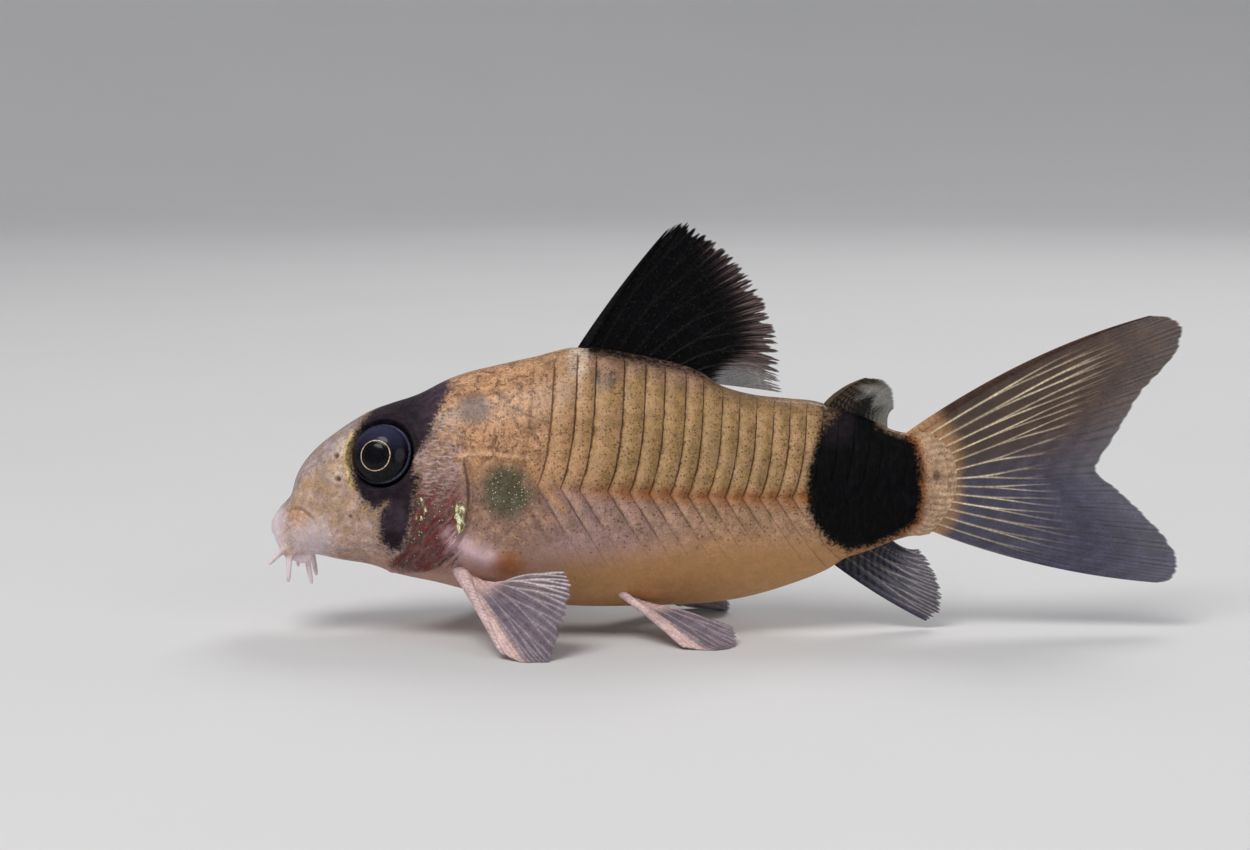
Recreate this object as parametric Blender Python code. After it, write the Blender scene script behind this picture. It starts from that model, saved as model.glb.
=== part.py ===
"""A corydoras catfish, life size, resting on its paired fins as it does on gravel.

The head points to -X, the fish's left side faces -Y, and +Z is up with the floor at 0.
Sizes are in millimetres and become metres where a mesh is made. Lengths along the fish
are measured from the tip of the snout, and heights from the floor, until then.
"""

import math

import bmesh
import bpy
import numpy as np
from mathutils import Matrix, Vector

MM = 0.001
GAP = 0.3
SLIVER = 0.000001
FORE_REACH = -0.1
TAIL_REACH = 50.1
MIDDLE_X = (FORE_REACH + TAIL_REACH) / 2

# Lines of the body: each point is a length from the snout and a height or half width there
BACK_LINE = [
    (0.3, 6.9), (1.0, 7.36), (1.32, 7.87), (1.45, 8.5), (1.7, 9.09), (2.1, 9.65),
    (2.65, 10.3), (3.5, 10.97), (4.3, 11.52), (5.4, 12.15), (6.5, 12.55), (8.0, 13.05),
    (9.65, 13.88), (10.7, 14.27), (12.0, 14.6), (13.2, 14.88), (14.5, 15.16), (15.75, 15.5),
    (16.6, 15.66), (18.0, 15.5), (20.2, 15.1), (22.4, 14.6), (23.5, 14.2), (24.6, 13.6),
    (26.3, 13.1), (28.5, 12.85), (29.9, 12.7), (31.2, 12.25), (32.4, 11.9), (33.4, 11.45),
    (34.2, 11.1), (35.0, 10.95), (35.7, 11.1), (37.4, 11.7),
]
BELLY_LINE = [
    (0.3, 4.9), (1.0, 4.45), (2.4, 4.27), (3.7, 3.99), (5.4, 3.71), (7.0, 3.18), (9.2, 2.72),
    (10.3, 2.44), (12.5, 1.9), (15.8, 1.5), (18.0, 1.4), (22.0, 1.45), (25.7, 1.78),
    (29.0, 2.72), (30.7, 3.44), (31.5, 3.95), (32.9, 4.43), (34.5, 5.04), (35.4, 5.22),
    (37.4, 5.15),
]
HALF_WIDTHS = [
    (0.3, 1.6), (0.6, 1.85), (1.0, 2.05), (2.0, 2.4), (3.2, 2.75), (4.5, 3.05), (6.0, 3.35),
    (8.0, 3.85), (10.0, 4.3), (12.0, 4.6), (14.5, 4.75), (17.0, 4.7), (19.0, 4.5),
    (21.0, 4.2), (25.0, 3.4), (29.0, 2.5), (33.0, 1.65), (35.0, 1.25), (37.4, 0.75),
]
WIDEST_LINE = [
    (0.3, 5.75), (2.0, 6.0), (4.0, 6.6), (6.0, 6.9), (9.0, 6.6), (12.0, 6.4), (16.0, 6.6),
    (20.0, 7.0), (24.0, 7.4), (28.0, 7.7), (32.0, 8.0), (37.4, 8.4),
]
NOSE_START = 0.3
NOSE_ROUNDING = 0.9
HEAD_SQUARENESS = 2.5
BACK_SQUARENESS = 2.05
BELLY_SQUARENESS = 2.4

# Armour: rows of plates that meet in a forward-pointing chevron at the side line. Each
# plate's rear edge has its foremost point there, at these lengths.
SIDE_LINE = [(0.0, 8.8), (12.0, 8.7), (16.0, 8.5), (29.0, 7.7), (37.4, 8.4)]
PLATE_EDGES = [
    13.6, 14.7, 15.95, 16.95, 18.5, 19.65, 20.7, 21.85, 22.8, 23.85, 24.8, 25.75, 26.7, 27.6,
    28.5, 29.4, 30.3, 31.2, 32.1, 32.95, 33.8, 34.6,
]
PLATE_STEP = 0.16
STEP_RUN = 0.14
UPPER_SWEEP = 0.95
UPPER_BEND = 2.2
LOWER_SLANT = 0.57
TAIL_CUT_PLATE = 15
BACK_COLUMNS = 9
BELLY_COLUMNS = 12

# The cut behind the gill cover, and the rounded end of the fleshy tail
HEAD_END_X = 10.7
HEAD_END_Z = 7.0
NAPE_LEAN = 0.9
THROAT_LEAN = 1.5
NAPE_RISE = 8.0
THROAT_DROP = 4.3
TAIL_END_X = 37.2
TAIL_END_Z = 8.4
TAIL_END_LEAN = 1.3
TAIL_END_REACH = 3.0

# Head details
HEAD_RINGS = 38
HEAD_COLUMNS = 24
EYE_X, EYE_Z = 6.15, 10.25
EYE_RADIUS = 1.7
EYE_DEPTH = 1.25
EYE_SINK = 0.78
EYE_UP_TILT = math.radians(21)
EYE_FORE_TURN = math.radians(13)
ORBIT_RIM = 0.14
GILL_COVER_X, GILL_COVER_Z = 8.9, 6.6
GILL_COVER_HALF_LENGTH, GILL_COVER_HALF_HEIGHT = 1.6, 2.75
GILL_COVER_STEP = 0.26
CHEEK_X, CHEEK_Z = 5.2, 6.3
CHEEK_HALF_LENGTH, CHEEK_HALF_HEIGHT = 1.9, 1.3
CHEEK_STEP = 0.12
MOUTH_X, MOUTH_Z = 1.1, 4.95
MOUTH_HALF_WIDTH = 1.7
UPPER_LIP_RADIUS = 0.68
UPPER_LIP_STRETCH = 1.5
UPPER_LIP_RISE = 0.9
LOWER_LIP_RADIUS = 0.42
LOWER_LIP_REACH = 0.95
LIP_CORNER_RADIUS = 0.5
NOSTRIL_RADIUS = 0.19
NOSTRIL_RIM = 0.13
NOSTRILS = ((3.75, 9.95), (3.85, 8.75))

# Fins: half thicknesses of the rays and of the skin between them
RAY_HALF = 0.36
WEB_HALF = 0.25
TIP_SHARE = 0.45
SPINE_HALF = 0.45
SPINE_EDGE = 0.32
SPINE_EDGE_HALF = 0.22

BARBEL_ROOT_RADIUS = 0.27
BARBEL_TIP_RADIUS = 0.13

COLOURS = {
    "tan": (0.52, 0.33, 0.19),
    "pink": (0.62, 0.42, 0.33),
    "black": (0.02, 0.018, 0.022),
    "fin": (0.55, 0.47, 0.42),
    "fin_black": (0.03, 0.025, 0.028),
    "barbel": (0.7, 0.55, 0.5),
}


def smooth_line(points, x):
    """The height at x of a smooth line through the points, with no overshoot between them."""
    xs, ys = (np.array(values, float) for values in zip(*points))
    widths = np.diff(xs)
    slopes = np.diff(ys) / widths
    tangents = np.concatenate([slopes[:1], (slopes[:-1] + slopes[1:]) / 2, slopes[-1:]])
    turning = slopes[:-1] * slopes[1:] <= 0
    tangents[1:-1][turning] = 0.0
    limit = 3 * np.minimum(np.abs(slopes[:-1]), np.abs(slopes[1:]))
    tangents[1:-1] = np.clip(tangents[1:-1], -limit, limit)
    x = np.clip(x, xs[0], xs[-1])
    i = np.clip(np.searchsorted(xs, x) - 1, 0, len(widths) - 1)
    t = (x - xs[i]) / widths[i]
    blend = t * t * (3 - 2 * t)
    bow = t * (1 - t) * widths[i]
    lean = (1 - t) * (tangents[i]) - t * tangents[i + 1]
    straight = (1 - blend) * ys[i] + blend * ys[i + 1]
    return straight + bow * lean


def ease(low, high, x):
    """0 below low, 1 above high, and a smooth rise between."""
    t = np.clip((np.asarray(x, float) - low) / (high - low), 0, 1)
    return t * t * (3 - 2 * t)


def upper_squareness(x):
    """The head is broad and flat between the eyes, and the back is rounder."""
    return HEAD_SQUARENESS + (BACK_SQUARENESS - HEAD_SQUARENESS) * ease(7.0, 13.0, x)


def skin_point(x, angle, raised=0.0):
    """The body's surface at a length x. The angle is 0 at the back and pi at the belly."""
    x, angle = np.broadcast_arrays(np.asarray(x, float), np.asarray(angle, float))
    nose = np.clip((x - NOSE_START) / NOSE_ROUNDING, 0, 1)
    nose = np.sqrt(1 - (1 - nose) ** 2)
    middle = smooth_line(WIDEST_LINE, x)
    upper = np.cos(angle) >= 0
    back = smooth_line(BACK_LINE, x) - middle
    belly = middle - smooth_line(BELLY_LINE, x)
    height = np.where(upper, back, belly) * nose
    width = smooth_line(HALF_WIDTHS, x) * nose
    power = 2 / np.where(upper, upper_squareness(x), BELLY_SQUARENESS)
    side = np.abs(np.sin(angle)) ** power
    rise = np.abs(np.cos(angle)) ** power * np.where(upper, 1, -1)
    out_y = side / np.maximum(width, 0.1)
    out_z = rise / np.maximum(height, 0.1)
    length = np.hypot(out_y, out_z) + 1e-9
    y = width * side + raised * out_y / length
    z = middle + height * rise + raised * out_z / length
    return np.stack([x, y, z], axis=-1)


def angle_at(x, z):
    """The angle at which the surface at a length x has the height z."""
    middle = smooth_line(WIDEST_LINE, x)
    if z >= middle:
        share = (z - middle) / (smooth_line(BACK_LINE, x) - middle)
        return math.acos(share ** (upper_squareness(x) / 2))
    share = (middle - z) / (middle - smooth_line(BELLY_LINE, x))
    return math.pi - math.acos(share ** (BELLY_SQUARENESS / 2))


def side_angle(x):
    """The angle at which the surface crosses the side line."""
    middle = smooth_line(WIDEST_LINE, x)
    back = smooth_line(BACK_LINE, x)
    share = np.clip((smooth_line(SIDE_LINE, x) - middle) / (back - middle), 0, 0.95)
    return np.arccos(share ** (upper_squareness(x) / 2))


def chevron(z, x):
    """How far a plate's rear edge lies behind its foremost point, at height z."""
    above = z - smooth_line(SIDE_LINE, x)
    swept = UPPER_SWEEP * (1 - np.exp(-np.maximum(above, 0) / UPPER_BEND))
    return np.where(above > 0, swept, -LOWER_SLANT * above)


def head_end(z):
    """The curve of the cut behind the gill cover, less its rearmost length."""
    above = z - HEAD_END_Z
    nape = -NAPE_LEAN * (above / NAPE_RISE) ** 2
    throat = -THROAT_LEAN * (above / THROAT_DROP) ** 2
    return np.where(above > 0, nape, throat)


def tail_end(z):
    return -TAIL_END_LEAN * ((z - TAIL_END_Z) / TAIL_END_REACH) ** 2


def new_object(name, points, faces, material):
    """An object from points in millimetres from the snout and the floor."""
    mesh = bpy.data.meshes.new(name)
    placed = (np.asarray(points, float) - (MIDDLE_X, 0, 0)) * MM
    mesh.from_pydata(placed.tolist(), [], [list(map(int, f)) for f in faces])
    mesh.update()
    obj = bpy.data.objects.new(name, mesh)
    bpy.context.scene.collection.objects.link(obj)
    obj.data.materials.append(material)
    return obj


def make_material(name, colour, roughness):
    material = bpy.data.materials.new(name)
    material.use_nodes = True
    shader = material.node_tree.nodes["Principled BSDF"]
    shader.inputs["Base Color"].default_value = (*colour, 1)
    shader.inputs["Roughness"].default_value = roughness
    shader.inputs["Metallic"].default_value = 0.0
    return material


def smooth_shading(obj):
    obj.data.shade_smooth()
    obj.data.set_sharp_from_angle(angle=math.radians(35))


def apply_boolean(obj, others, operation):
    """Joins the other closed meshes to obj, or cuts them from it, and removes them."""
    group = bpy.data.collections.new(obj.name + "_pieces")
    bpy.context.scene.collection.children.link(group)
    for other in others:
        for old in list(other.users_collection):
            old.objects.unlink(other)
        group.objects.link(other)
    modifier = obj.modifiers.new(operation.lower(), "BOOLEAN")
    modifier.operand_type = "COLLECTION"
    modifier.collection = group
    modifier.operation = operation
    modifier.solver = "EXACT"
    bpy.context.view_layer.update()
    graph = bpy.context.evaluated_depsgraph_get()
    result = bpy.data.meshes.new_from_object(obj.evaluated_get(graph))
    obj.modifiers.clear()
    obj.data = result
    for other in others:
        bpy.data.objects.remove(other)
    bpy.data.collections.remove(group)
    keep_largest(obj)


def keep_largest(obj):
    """Drops every loose surface but the largest, and the slivers that a cut leaves."""
    shape = bmesh.new()
    shape.from_mesh(obj.data)
    bmesh.ops.remove_doubles(shape, verts=shape.verts, dist=SLIVER)
    bmesh.ops.dissolve_degenerate(shape, edges=shape.edges, dist=SLIVER)
    bmesh.ops.triangulate(shape, faces=shape.faces)
    shape.verts.ensure_lookup_table()
    unseen = set(shape.verts)
    groups = []
    while unseen:
        front = [unseen.pop()]
        group = set(front)
        while front:
            vertex = front.pop()
            for edge in vertex.link_edges:
                other = edge.other_vert(vertex)
                if other in unseen:
                    unseen.remove(other)
                    group.add(other)
                    front.append(other)
        groups.append(group)
    groups.sort(key=len)
    for group in groups[:-1]:
        bmesh.ops.delete(shape, geom=list(group), context="VERTS")
    shape.to_mesh(obj.data)
    shape.free()


def ring_faces(rings, columns):
    """Quads between neighbouring rings of a closed loft."""
    faces = []
    for i in range(rings - 1):
        for j in range(columns):
            k = (j + 1) % columns
            faces.append((i * columns + j, (i + 1) * columns + j,
                          (i + 1) * columns + k, i * columns + k))
    return faces


def body_loft(name, rings, front, rear, material):
    """A closed body from half rings that run from the back to the belly, with two end points."""
    full = []
    for half in rings:
        other = half[-2:0:-1] * (1, -1, 1)
        full.append(np.concatenate([half, other]))
    columns = len(full[0])
    points = np.concatenate(full + [np.array([front, rear])])
    faces = ring_faces(len(full), columns)
    first, last = len(points) - 2, len(points) - 1
    tail = (len(full) - 1) * columns
    for j in range(columns):
        k = (j + 1) % columns
        faces.append((first, j, k))
        faces.append((last, tail + k, tail + j))
    obj = new_object(name, points, faces, material)
    smooth_shading(obj)
    return obj


def plate_fade(x, angle):
    """How far the plates stand out: not at the back's ridge, the side line or the bare belly."""
    side = side_angle(x)
    back = ease(0.10, 0.22, angle)
    groove = 1 - 0.75 * np.exp(-(((angle - side) / 0.07) ** 2))
    belly_start = math.pi * (0.74 + 0.22 * ease(27.0, 32.0, x))
    belly = 1 - ease(belly_start - 0.25, belly_start, angle)
    return back * groove * belly


def ring_angles(x):
    """Angles of a half ring's columns, one of which lies on the side line."""
    side = float(side_angle(x))
    back = np.linspace(0, side, BACK_COLUMNS + 1)
    belly = np.linspace(side, math.pi, BELLY_COLUMNS + 1)
    return np.concatenate([back, belly[1:]])


def armour_ring(x, raised, bend):
    """A half ring whose edge follows bend(z), with its plate raised by that much."""
    angles = ring_angles(x)
    level = skin_point(np.full_like(angles, x), angles)
    along = x + bend(level[:, 2])
    return skin_point(along, angles, raised * plate_fade(along, angles))


def head_bumps(points):
    """How far the head's bones stand out of its skin: orbit, gill cover and cheek."""
    x, z = points[:, 0], points[:, 2]
    from_eye = np.hypot(x - EYE_X, z - EYE_Z)
    rim = ORBIT_RIM * np.exp(-(((from_eye - EYE_RADIUS - 0.25) / 0.28) ** 2))
    cover = np.hypot((x - GILL_COVER_X) / GILL_COVER_HALF_LENGTH,
                     (z - GILL_COVER_Z) / GILL_COVER_HALF_HEIGHT)
    cover_step = GILL_COVER_STEP * (1 - ease(0.78, 1.06, cover))
    cheek = np.hypot((x - CHEEK_X) / CHEEK_HALF_LENGTH, (z - CHEEK_Z) / CHEEK_HALF_HEIGHT)
    cheek_step = CHEEK_STEP * (1 - ease(0.8, 1.1, cheek))
    on_side = ease(0.8, 1.6, points[:, 1])
    return (rim + cover_step + cheek_step) * on_side


def build_head(material):
    rings = []
    for i in range(1, HEAD_RINGS + 1):
        share = i / HEAD_RINGS
        x = NOSE_START + (HEAD_END_X - NOSE_START) * (0.5 * share**2 + 0.5 * share)
        angles = np.linspace(0, math.pi, HEAD_COLUMNS)
        level = skin_point(np.full_like(angles, x), angles)
        along = x + head_end(level[:, 2]) * ease(0.35, 1.0, share)
        flat = skin_point(along, angles)
        rings.append(skin_point(along, angles, head_bumps(flat)))
    tip = skin_point(NOSE_START, 0.0)
    centre = (HEAD_END_X, 0.0, HEAD_END_Z)
    head = body_loft("head", rings, tip, centre, material)
    add = [upper_lip(material), lower_lip(material)]
    add += [lip_corner(side, material) for side in (-1, 1)]
    add += [nostril_rim(x, z, side, material) for side in (-1, 1) for x, z in NOSTRILS]
    apply_boolean(head, add, "UNION")
    cutters = [eye_shape("orbit", side, GAP, material) for side in (-1, 1)]
    cutters += [mouth_slit(material)]
    cutters += [nostril_pit(x, z, side, material) for side in (-1, 1) for x, z in NOSTRILS]
    apply_boolean(head, cutters, "DIFFERENCE")
    smooth_shading(head)
    return head


def tube(name, path, radii, material, sides=10, stretch=1.0):
    """A closed round tube along a path, drawn out upward and downward by the stretch."""
    path = np.asarray(path, float)
    points = []
    ahead = np.gradient(path, axis=0)
    ahead /= np.linalg.norm(ahead, axis=1)[:, None]
    across = np.cross(ahead[0], (0, 0, 1) if abs(ahead[0][2]) < 0.9 else (0, 1, 0))
    for centre, forward, radius in zip(path, ahead, radii):
        across = across - forward * (across @ forward)
        across = across / np.linalg.norm(across)
        up = np.cross(forward, across)
        for k in range(sides):
            turn = 2 * math.pi * k / sides
            spoke = radius * (math.cos(turn) * across + math.sin(turn) * up)
            points.append(centre + spoke * (1, 1, stretch))
    faces = ring_faces(len(path), sides)
    faces = [tuple(reversed(face)) for face in faces]
    faces.append(tuple(range(sides - 1, -1, -1)))
    last = (len(path) - 1) * sides
    faces.append(tuple(last + k for k in range(sides)))
    obj = new_object(name, points, faces, material)
    shape = bmesh.new()
    shape.from_mesh(obj.data)
    bmesh.ops.recalc_face_normals(shape, faces=shape.faces)
    shape.to_mesh(obj.data)
    shape.free()
    smooth_shading(obj)
    return obj


def mouth_corner(side):
    return np.array([MOUTH_X, side * MOUTH_HALF_WIDTH, MOUTH_Z])


def upper_lip_point(turn):
    """The middle of the upper lip: turn 0 is the front of the snout, the corners a right angle."""
    fore = MOUTH_X - UPPER_LIP_RADIUS
    return np.array([MOUTH_X - fore * math.cos(turn), MOUTH_HALF_WIDTH * math.sin(turn),
                     MOUTH_Z + UPPER_LIP_RISE * math.cos(turn)])


def lower_lip_point(turn):
    return np.array([MOUTH_X + LOWER_LIP_REACH * math.cos(turn),
                     MOUTH_HALF_WIDTH * 0.92 * math.sin(turn),
                     MOUTH_Z - 0.35 * math.cos(turn)])


def upper_lip(material):
    """The fleshy upper lip, which bulges round the front of the snout."""
    turns = np.linspace(-math.pi / 2, math.pi / 2, 17)
    path = [upper_lip_point(turn) for turn in turns]
    radii = [UPPER_LIP_RADIUS * (0.7 + 0.3 * math.cos(turn)) for turn in turns]
    return tube("upper_lip", path, radii, material, 14, UPPER_LIP_STRETCH)


def lower_lip(material):
    """The lower lip, a smaller bow behind the mouth."""
    turns = np.linspace(-math.pi / 2, math.pi / 2, 13)
    path = [lower_lip_point(turn) for turn in turns]
    radii = [LOWER_LIP_RADIUS * (0.85 + 0.15 * math.cos(turn)) for turn in turns]
    return tube("lower_lip", path, radii, material)


def ellipsoid(name, centre, radii, turn, material, segments=20, rings=12):
    shape = bmesh.new()
    bmesh.ops.create_uvsphere(shape, u_segments=segments, v_segments=rings, radius=1.0)
    placed = turn @ Matrix.Diagonal(Vector(radii)).to_4x4()
    points = [np.array(placed @ v.co) + np.array(centre) for v in shape.verts]
    faces = [[v.index for v in f.verts] for f in shape.faces]
    shape.free()
    obj = new_object(name, points, faces, material)
    smooth_shading(obj)
    return obj


def lip_corner(side, material):
    size = (LIP_CORNER_RADIUS,) * 3
    return ellipsoid("lip_corner", mouth_corner(side), size, Matrix.Identity(4), material, 14, 8)


def mouth_slit(material):
    """The crescent opening between the lips, seen from below."""
    turns = np.linspace(-1.25, 1.25, 11)
    path = [(MOUTH_X + 0.4 * math.cos(a) - 0.1, 1.3 * math.sin(a), MOUTH_Z - 0.55)
            for a in turns]
    radii = [0.12 + 0.16 * math.cos(a) for a in turns]
    return tube("mouth_slit", path, radii, material, 8, 1.8)


def outward(x, angle, side):
    """The direction in which the skin faces, at a place on one side of the body."""
    step = 0.05
    along = skin_point(x + step, angle) - skin_point(x - step, angle)
    round_body = skin_point(x, angle + step) - skin_point(x, angle - step)
    normal = np.cross(round_body, along)
    normal /= np.linalg.norm(normal)
    if normal[1] < 0:
        normal = -normal
    return normal * (1, side, 1)


def on_side(point, side):
    return np.array(point) * (1, side, 1)


def nostril_rim(x, z, side, material):
    """A short raised collar round a nostril."""
    angle = angle_at(x, z)
    foot = on_side(skin_point(x, angle), side)
    normal = outward(x, angle, side)
    path = [foot - 0.35 * normal, foot - 0.05 * normal, foot + NOSTRIL_RIM * normal]
    radii = [NOSTRIL_RADIUS + 0.22, NOSTRIL_RADIUS + 0.2, NOSTRIL_RADIUS + 0.1]
    return tube("nostril_rim", path, radii, material, 10)


def nostril_pit(x, z, side, material):
    angle = angle_at(x, z)
    foot = on_side(skin_point(x, angle), side)
    normal = outward(x, angle, side)
    path = [foot - 0.25 * normal, foot + 0.5 * normal]
    radii = [NOSTRIL_RADIUS * 0.7, NOSTRIL_RADIUS]
    return tube("nostril_pit", path, radii, material, 8)


def eye_axis(side):
    """The way the eye looks: outward, a little up and forward."""
    level = math.cos(EYE_UP_TILT)
    return Vector((-math.sin(EYE_FORE_TURN) * level, side * math.cos(EYE_FORE_TURN) * level,
                   math.sin(EYE_UP_TILT)))


def eye_shape(name, side, extra, material, segments=24, rings=14):
    """The eyeball, or with extra the orbit cut for it, which clears it by that much."""
    skin = on_side(skin_point(EYE_X, angle_at(EYE_X, EYE_Z)), side)
    centre = skin - np.array(eye_axis(side)) * EYE_SINK
    turn = eye_axis(side).to_track_quat("Z", "Y").to_matrix().to_4x4()
    radii = (EYE_RADIUS + extra, EYE_RADIUS + extra, EYE_DEPTH + extra)
    return ellipsoid(name, centre, radii, turn, material, segments, rings)


def build_eye(side, material):
    name = "eye_left" if side < 0 else "eye_right"
    return eye_shape(name, side, 0.0, material, 20, 12)


def front_trunk_rings():
    """Rings from the cut behind the gill cover to the first plate, easing into the chevron."""
    first = PLATE_EDGES[0]
    starts = np.linspace(HEAD_END_X + GAP, first - STEP_RUN, 7)
    rings = []
    for x in starts:
        share = float(ease(starts[0], first, x))
        rings.append(armour_ring(
            x, 0.0 if share < 0.5 else PLATE_STEP * (2 * share - 1),
            lambda z, x=x, s=share: (1 - s) * head_end(z) + s * chevron(z, x)))
    return rings


def plate_rings(first, last):
    """Two rings for each plate: where it comes out from under the last one, and its edge."""
    rings = []
    for k in range(first, last):
        for x, raised in ((PLATE_EDGES[k] + STEP_RUN * 0.5, 0.0),
                          (PLATE_EDGES[k + 1] - STEP_RUN * 0.5, PLATE_STEP)):
            share = float(ease(PLATE_EDGES[-4], TAIL_END_X, x))
            rings.append(armour_ring(
                x, raised,
                lambda z, x=x, s=share: (1 - s) * chevron(z, x) + s * tail_end(z)))
    return rings


def build_trunk(material):
    rings = front_trunk_rings() + plate_rings(0, TAIL_CUT_PLATE)
    front = (HEAD_END_X + GAP, 0.0, HEAD_END_Z)
    cut = PLATE_EDGES[TAIL_CUT_PLATE] - STEP_RUN * 0.5
    rear = (cut, 0.0, float(smooth_line(SIDE_LINE, cut)))
    return body_loft("trunk", rings, front, rear, material)


def build_tail(material):
    start = PLATE_EDGES[TAIL_CUT_PLATE] - STEP_RUN * 0.5 + GAP
    rings = [armour_ring(start, 0.0, lambda z: chevron(z, start))]
    rings += plate_rings(TAIL_CUT_PLATE, len(PLATE_EDGES) - 1)[1:]
    for x in (TAIL_END_X - 0.75, TAIL_END_X - 0.3, TAIL_END_X):
        share = float(ease(PLATE_EDGES[-4], TAIL_END_X, x))
        rings.append(armour_ring(
            x, 0.0, lambda z, x=x, s=share: (1 - s) * chevron(z, x) + s * tail_end(z)))
    front = (start, 0.0, float(smooth_line(SIDE_LINE, start)))
    rear = (TAIL_END_X, 0.0, TAIL_END_Z)
    return body_loft("tail", rings, front, rear, material)


def bowed(root, tip, bow, share):
    """A point on a ray that leaves its root and curves by the bow on its way to the tip."""
    root, tip, bow = (np.asarray(v, float) for v in (root, tip, bow))
    return root + (tip - root) * share + bow * 4 * share * (1 - share)


def fin_grid(rays, rows, notch):
    """Middle points and half thicknesses of a fin. Each ray is (root, tip, bow, half thickness).

    The first ray has a rounded edge in front of it. Between two rays runs a thinner web,
    which ends short of their tips by the notch.
    """
    columns, halves = [], []
    shares = np.linspace(0, 1, rows)
    lead = np.array([bowed(*rays[0][:3], s) for s in shares])
    back = np.array([bowed(*rays[1][:3], s) for s in shares])
    ahead = (lead - back) / np.linalg.norm(lead - back, axis=1)[:, None]
    columns.append(lead + ahead * SPINE_EDGE * (1 - 0.5 * shares)[:, None])
    halves.append([SPINE_EDGE_HALF * (1 - (1 - TIP_SHARE) * s**2) for s in shares])
    for i, (root, tip, bow, half) in enumerate(rays):
        columns.append([bowed(root, tip, bow, s) for s in shares])
        halves.append([half * (1 - (1 - TIP_SHARE) * s**2) for s in shares])
        if i + 1 == len(rays):
            break
        after = rays[i + 1]
        middle = [(np.asarray(a, float) + np.asarray(b, float)) / 2
                  for a, b in zip(rays[i][:3], after[:3])]
        columns.append([bowed(*middle, s * (1 - notch)) for s in shares])
        halves.append([WEB_HALF * (1 - (1 - TIP_SHARE) * s**2) for s in shares])
    return np.array(columns), np.array(halves)


def fin_object(name, rays, material, rows=6, notch=0.04, facing=None):
    """A closed fin, split into the same triangles on both faces."""
    middle, halves = fin_grid(rays, rows, notch)
    if facing is not None:
        normals = np.broadcast_to(np.asarray(facing, float), middle.shape)
    else:
        across = np.gradient(middle, axis=0)
        along = np.gradient(middle, axis=1)
        normals = np.cross(across, along)
        normals = normals / np.linalg.norm(normals, axis=2)[..., None]
    offset = normals * halves[..., None]
    count, rows = middle.shape[:2]
    points = np.concatenate([(middle + offset).reshape(-1, 3), (middle - offset).reshape(-1, 3)])
    under = count * rows
    faces = []
    for i in range(count - 1):
        for j in range(rows - 1):
            a, b = i * rows + j, (i + 1) * rows + j
            for face in ((a, b, b + 1), (a, b + 1, a + 1)):
                faces.append(face)
                faces.append(tuple(under + v for v in reversed(face)))
    rim = [i * rows for i in range(count)]
    rim += [(count - 1) * rows + j for j in range(1, rows)]
    rim += [i * rows + rows - 1 for i in range(count - 2, -1, -1)]
    rim += [j for j in range(rows - 2, 0, -1)]
    for a, b in zip(rim, rim[1:] + rim[:1]):
        faces.append((a, under + a, under + b))
        faces.append((a, under + b, b))
    obj = new_object(name, points, faces, material)
    shape = bmesh.new()
    shape.from_mesh(obj.data)
    bmesh.ops.recalc_face_normals(shape, faces=shape.faces)
    shape.to_mesh(obj.data)
    shape.free()
    smooth_shading(obj)
    return obj


def cut_at_floor(obj):
    """Cuts off what lies below the floor, which leaves small flats for the fish to rest on."""
    shape = bmesh.new()
    shape.from_mesh(obj.data)
    everything = list(shape.verts) + list(shape.edges) + list(shape.faces)
    cut = bmesh.ops.bisect_plane(shape, geom=everything, dist=1e-7, plane_co=(0, 0, 0),
                                 plane_no=(0, 0, -1), clear_outer=True)
    rim = [item for item in cut["geom_cut"] if isinstance(item, bmesh.types.BMEdge)]
    flats = bmesh.ops.edgeloop_fill(shape, edges=rim)["faces"]
    bmesh.ops.triangulate(shape, faces=flats)
    bmesh.ops.recalc_face_normals(shape, faces=shape.faces)
    shape.to_mesh(obj.data)
    shape.free()
    smooth_shading(obj)
    return obj


def back_root(x, lift=GAP):
    return np.array([x, 0.0, float(smooth_line(BACK_LINE, x)) + lift])


def belly_root(x, lift=GAP):
    return np.array([x, 0.0, float(smooth_line(BELLY_LINE, x)) - lift])


SIDEWAYS = (0.0, 1.0, 0.0)
DORSAL_ROOTS = (17.3, 23.6)
DORSAL_TIPS = [
    (21.85, 22.25), (22.8, 22.65), (24.3, 21.6), (25.65, 20.4), (26.75, 18.9),
    (27.5, 17.2), (27.95, 15.5), (28.0, 14.0),
]
ANAL_ROOTS = (31.3, 34.5)
ANAL_TIPS = [(36.2, 0.45), (36.9, 0.85), (37.0, 1.8), (36.8, 2.7), (36.4, 3.6), (35.8, 4.5)]
ADIPOSE_ROOTS = (30.7, 33.85)
ADIPOSE_TIPS = [(32.7, 14.0), (33.5, 13.95), (34.2, 13.2), (34.25, 12.3)]


def build_dorsal_fin(material):
    """A stout spine and seven soft rays that fan back over the trunk."""
    count = len(DORSAL_TIPS)
    roots = np.linspace(*DORSAL_ROOTS, count)
    rays = []
    for i, (x, (tip_x, tip_z)) in enumerate(zip(roots, DORSAL_TIPS)):
        half = SPINE_HALF if i == 0 else RAY_HALF
        bow = (-0.15 - 0.03 * i, 0.0, 0.12 + 0.045 * i)
        rays.append((back_root(x), (tip_x, 0.0, tip_z), bow, half))
    return fin_object("dorsal_fin", rays, material, 7, 0.08, SIDEWAYS)


def build_anal_fin(material):
    roots = np.linspace(*ANAL_ROOTS, len(ANAL_TIPS))
    rays = [(belly_root(x), (tip_x, 0.0, tip_z), (0.0, 0.0, -0.15), RAY_HALF)
            for x, (tip_x, tip_z) in zip(roots, ANAL_TIPS)]
    return fin_object("anal_fin", rays, material, 6, 0.06, SIDEWAYS)


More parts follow.
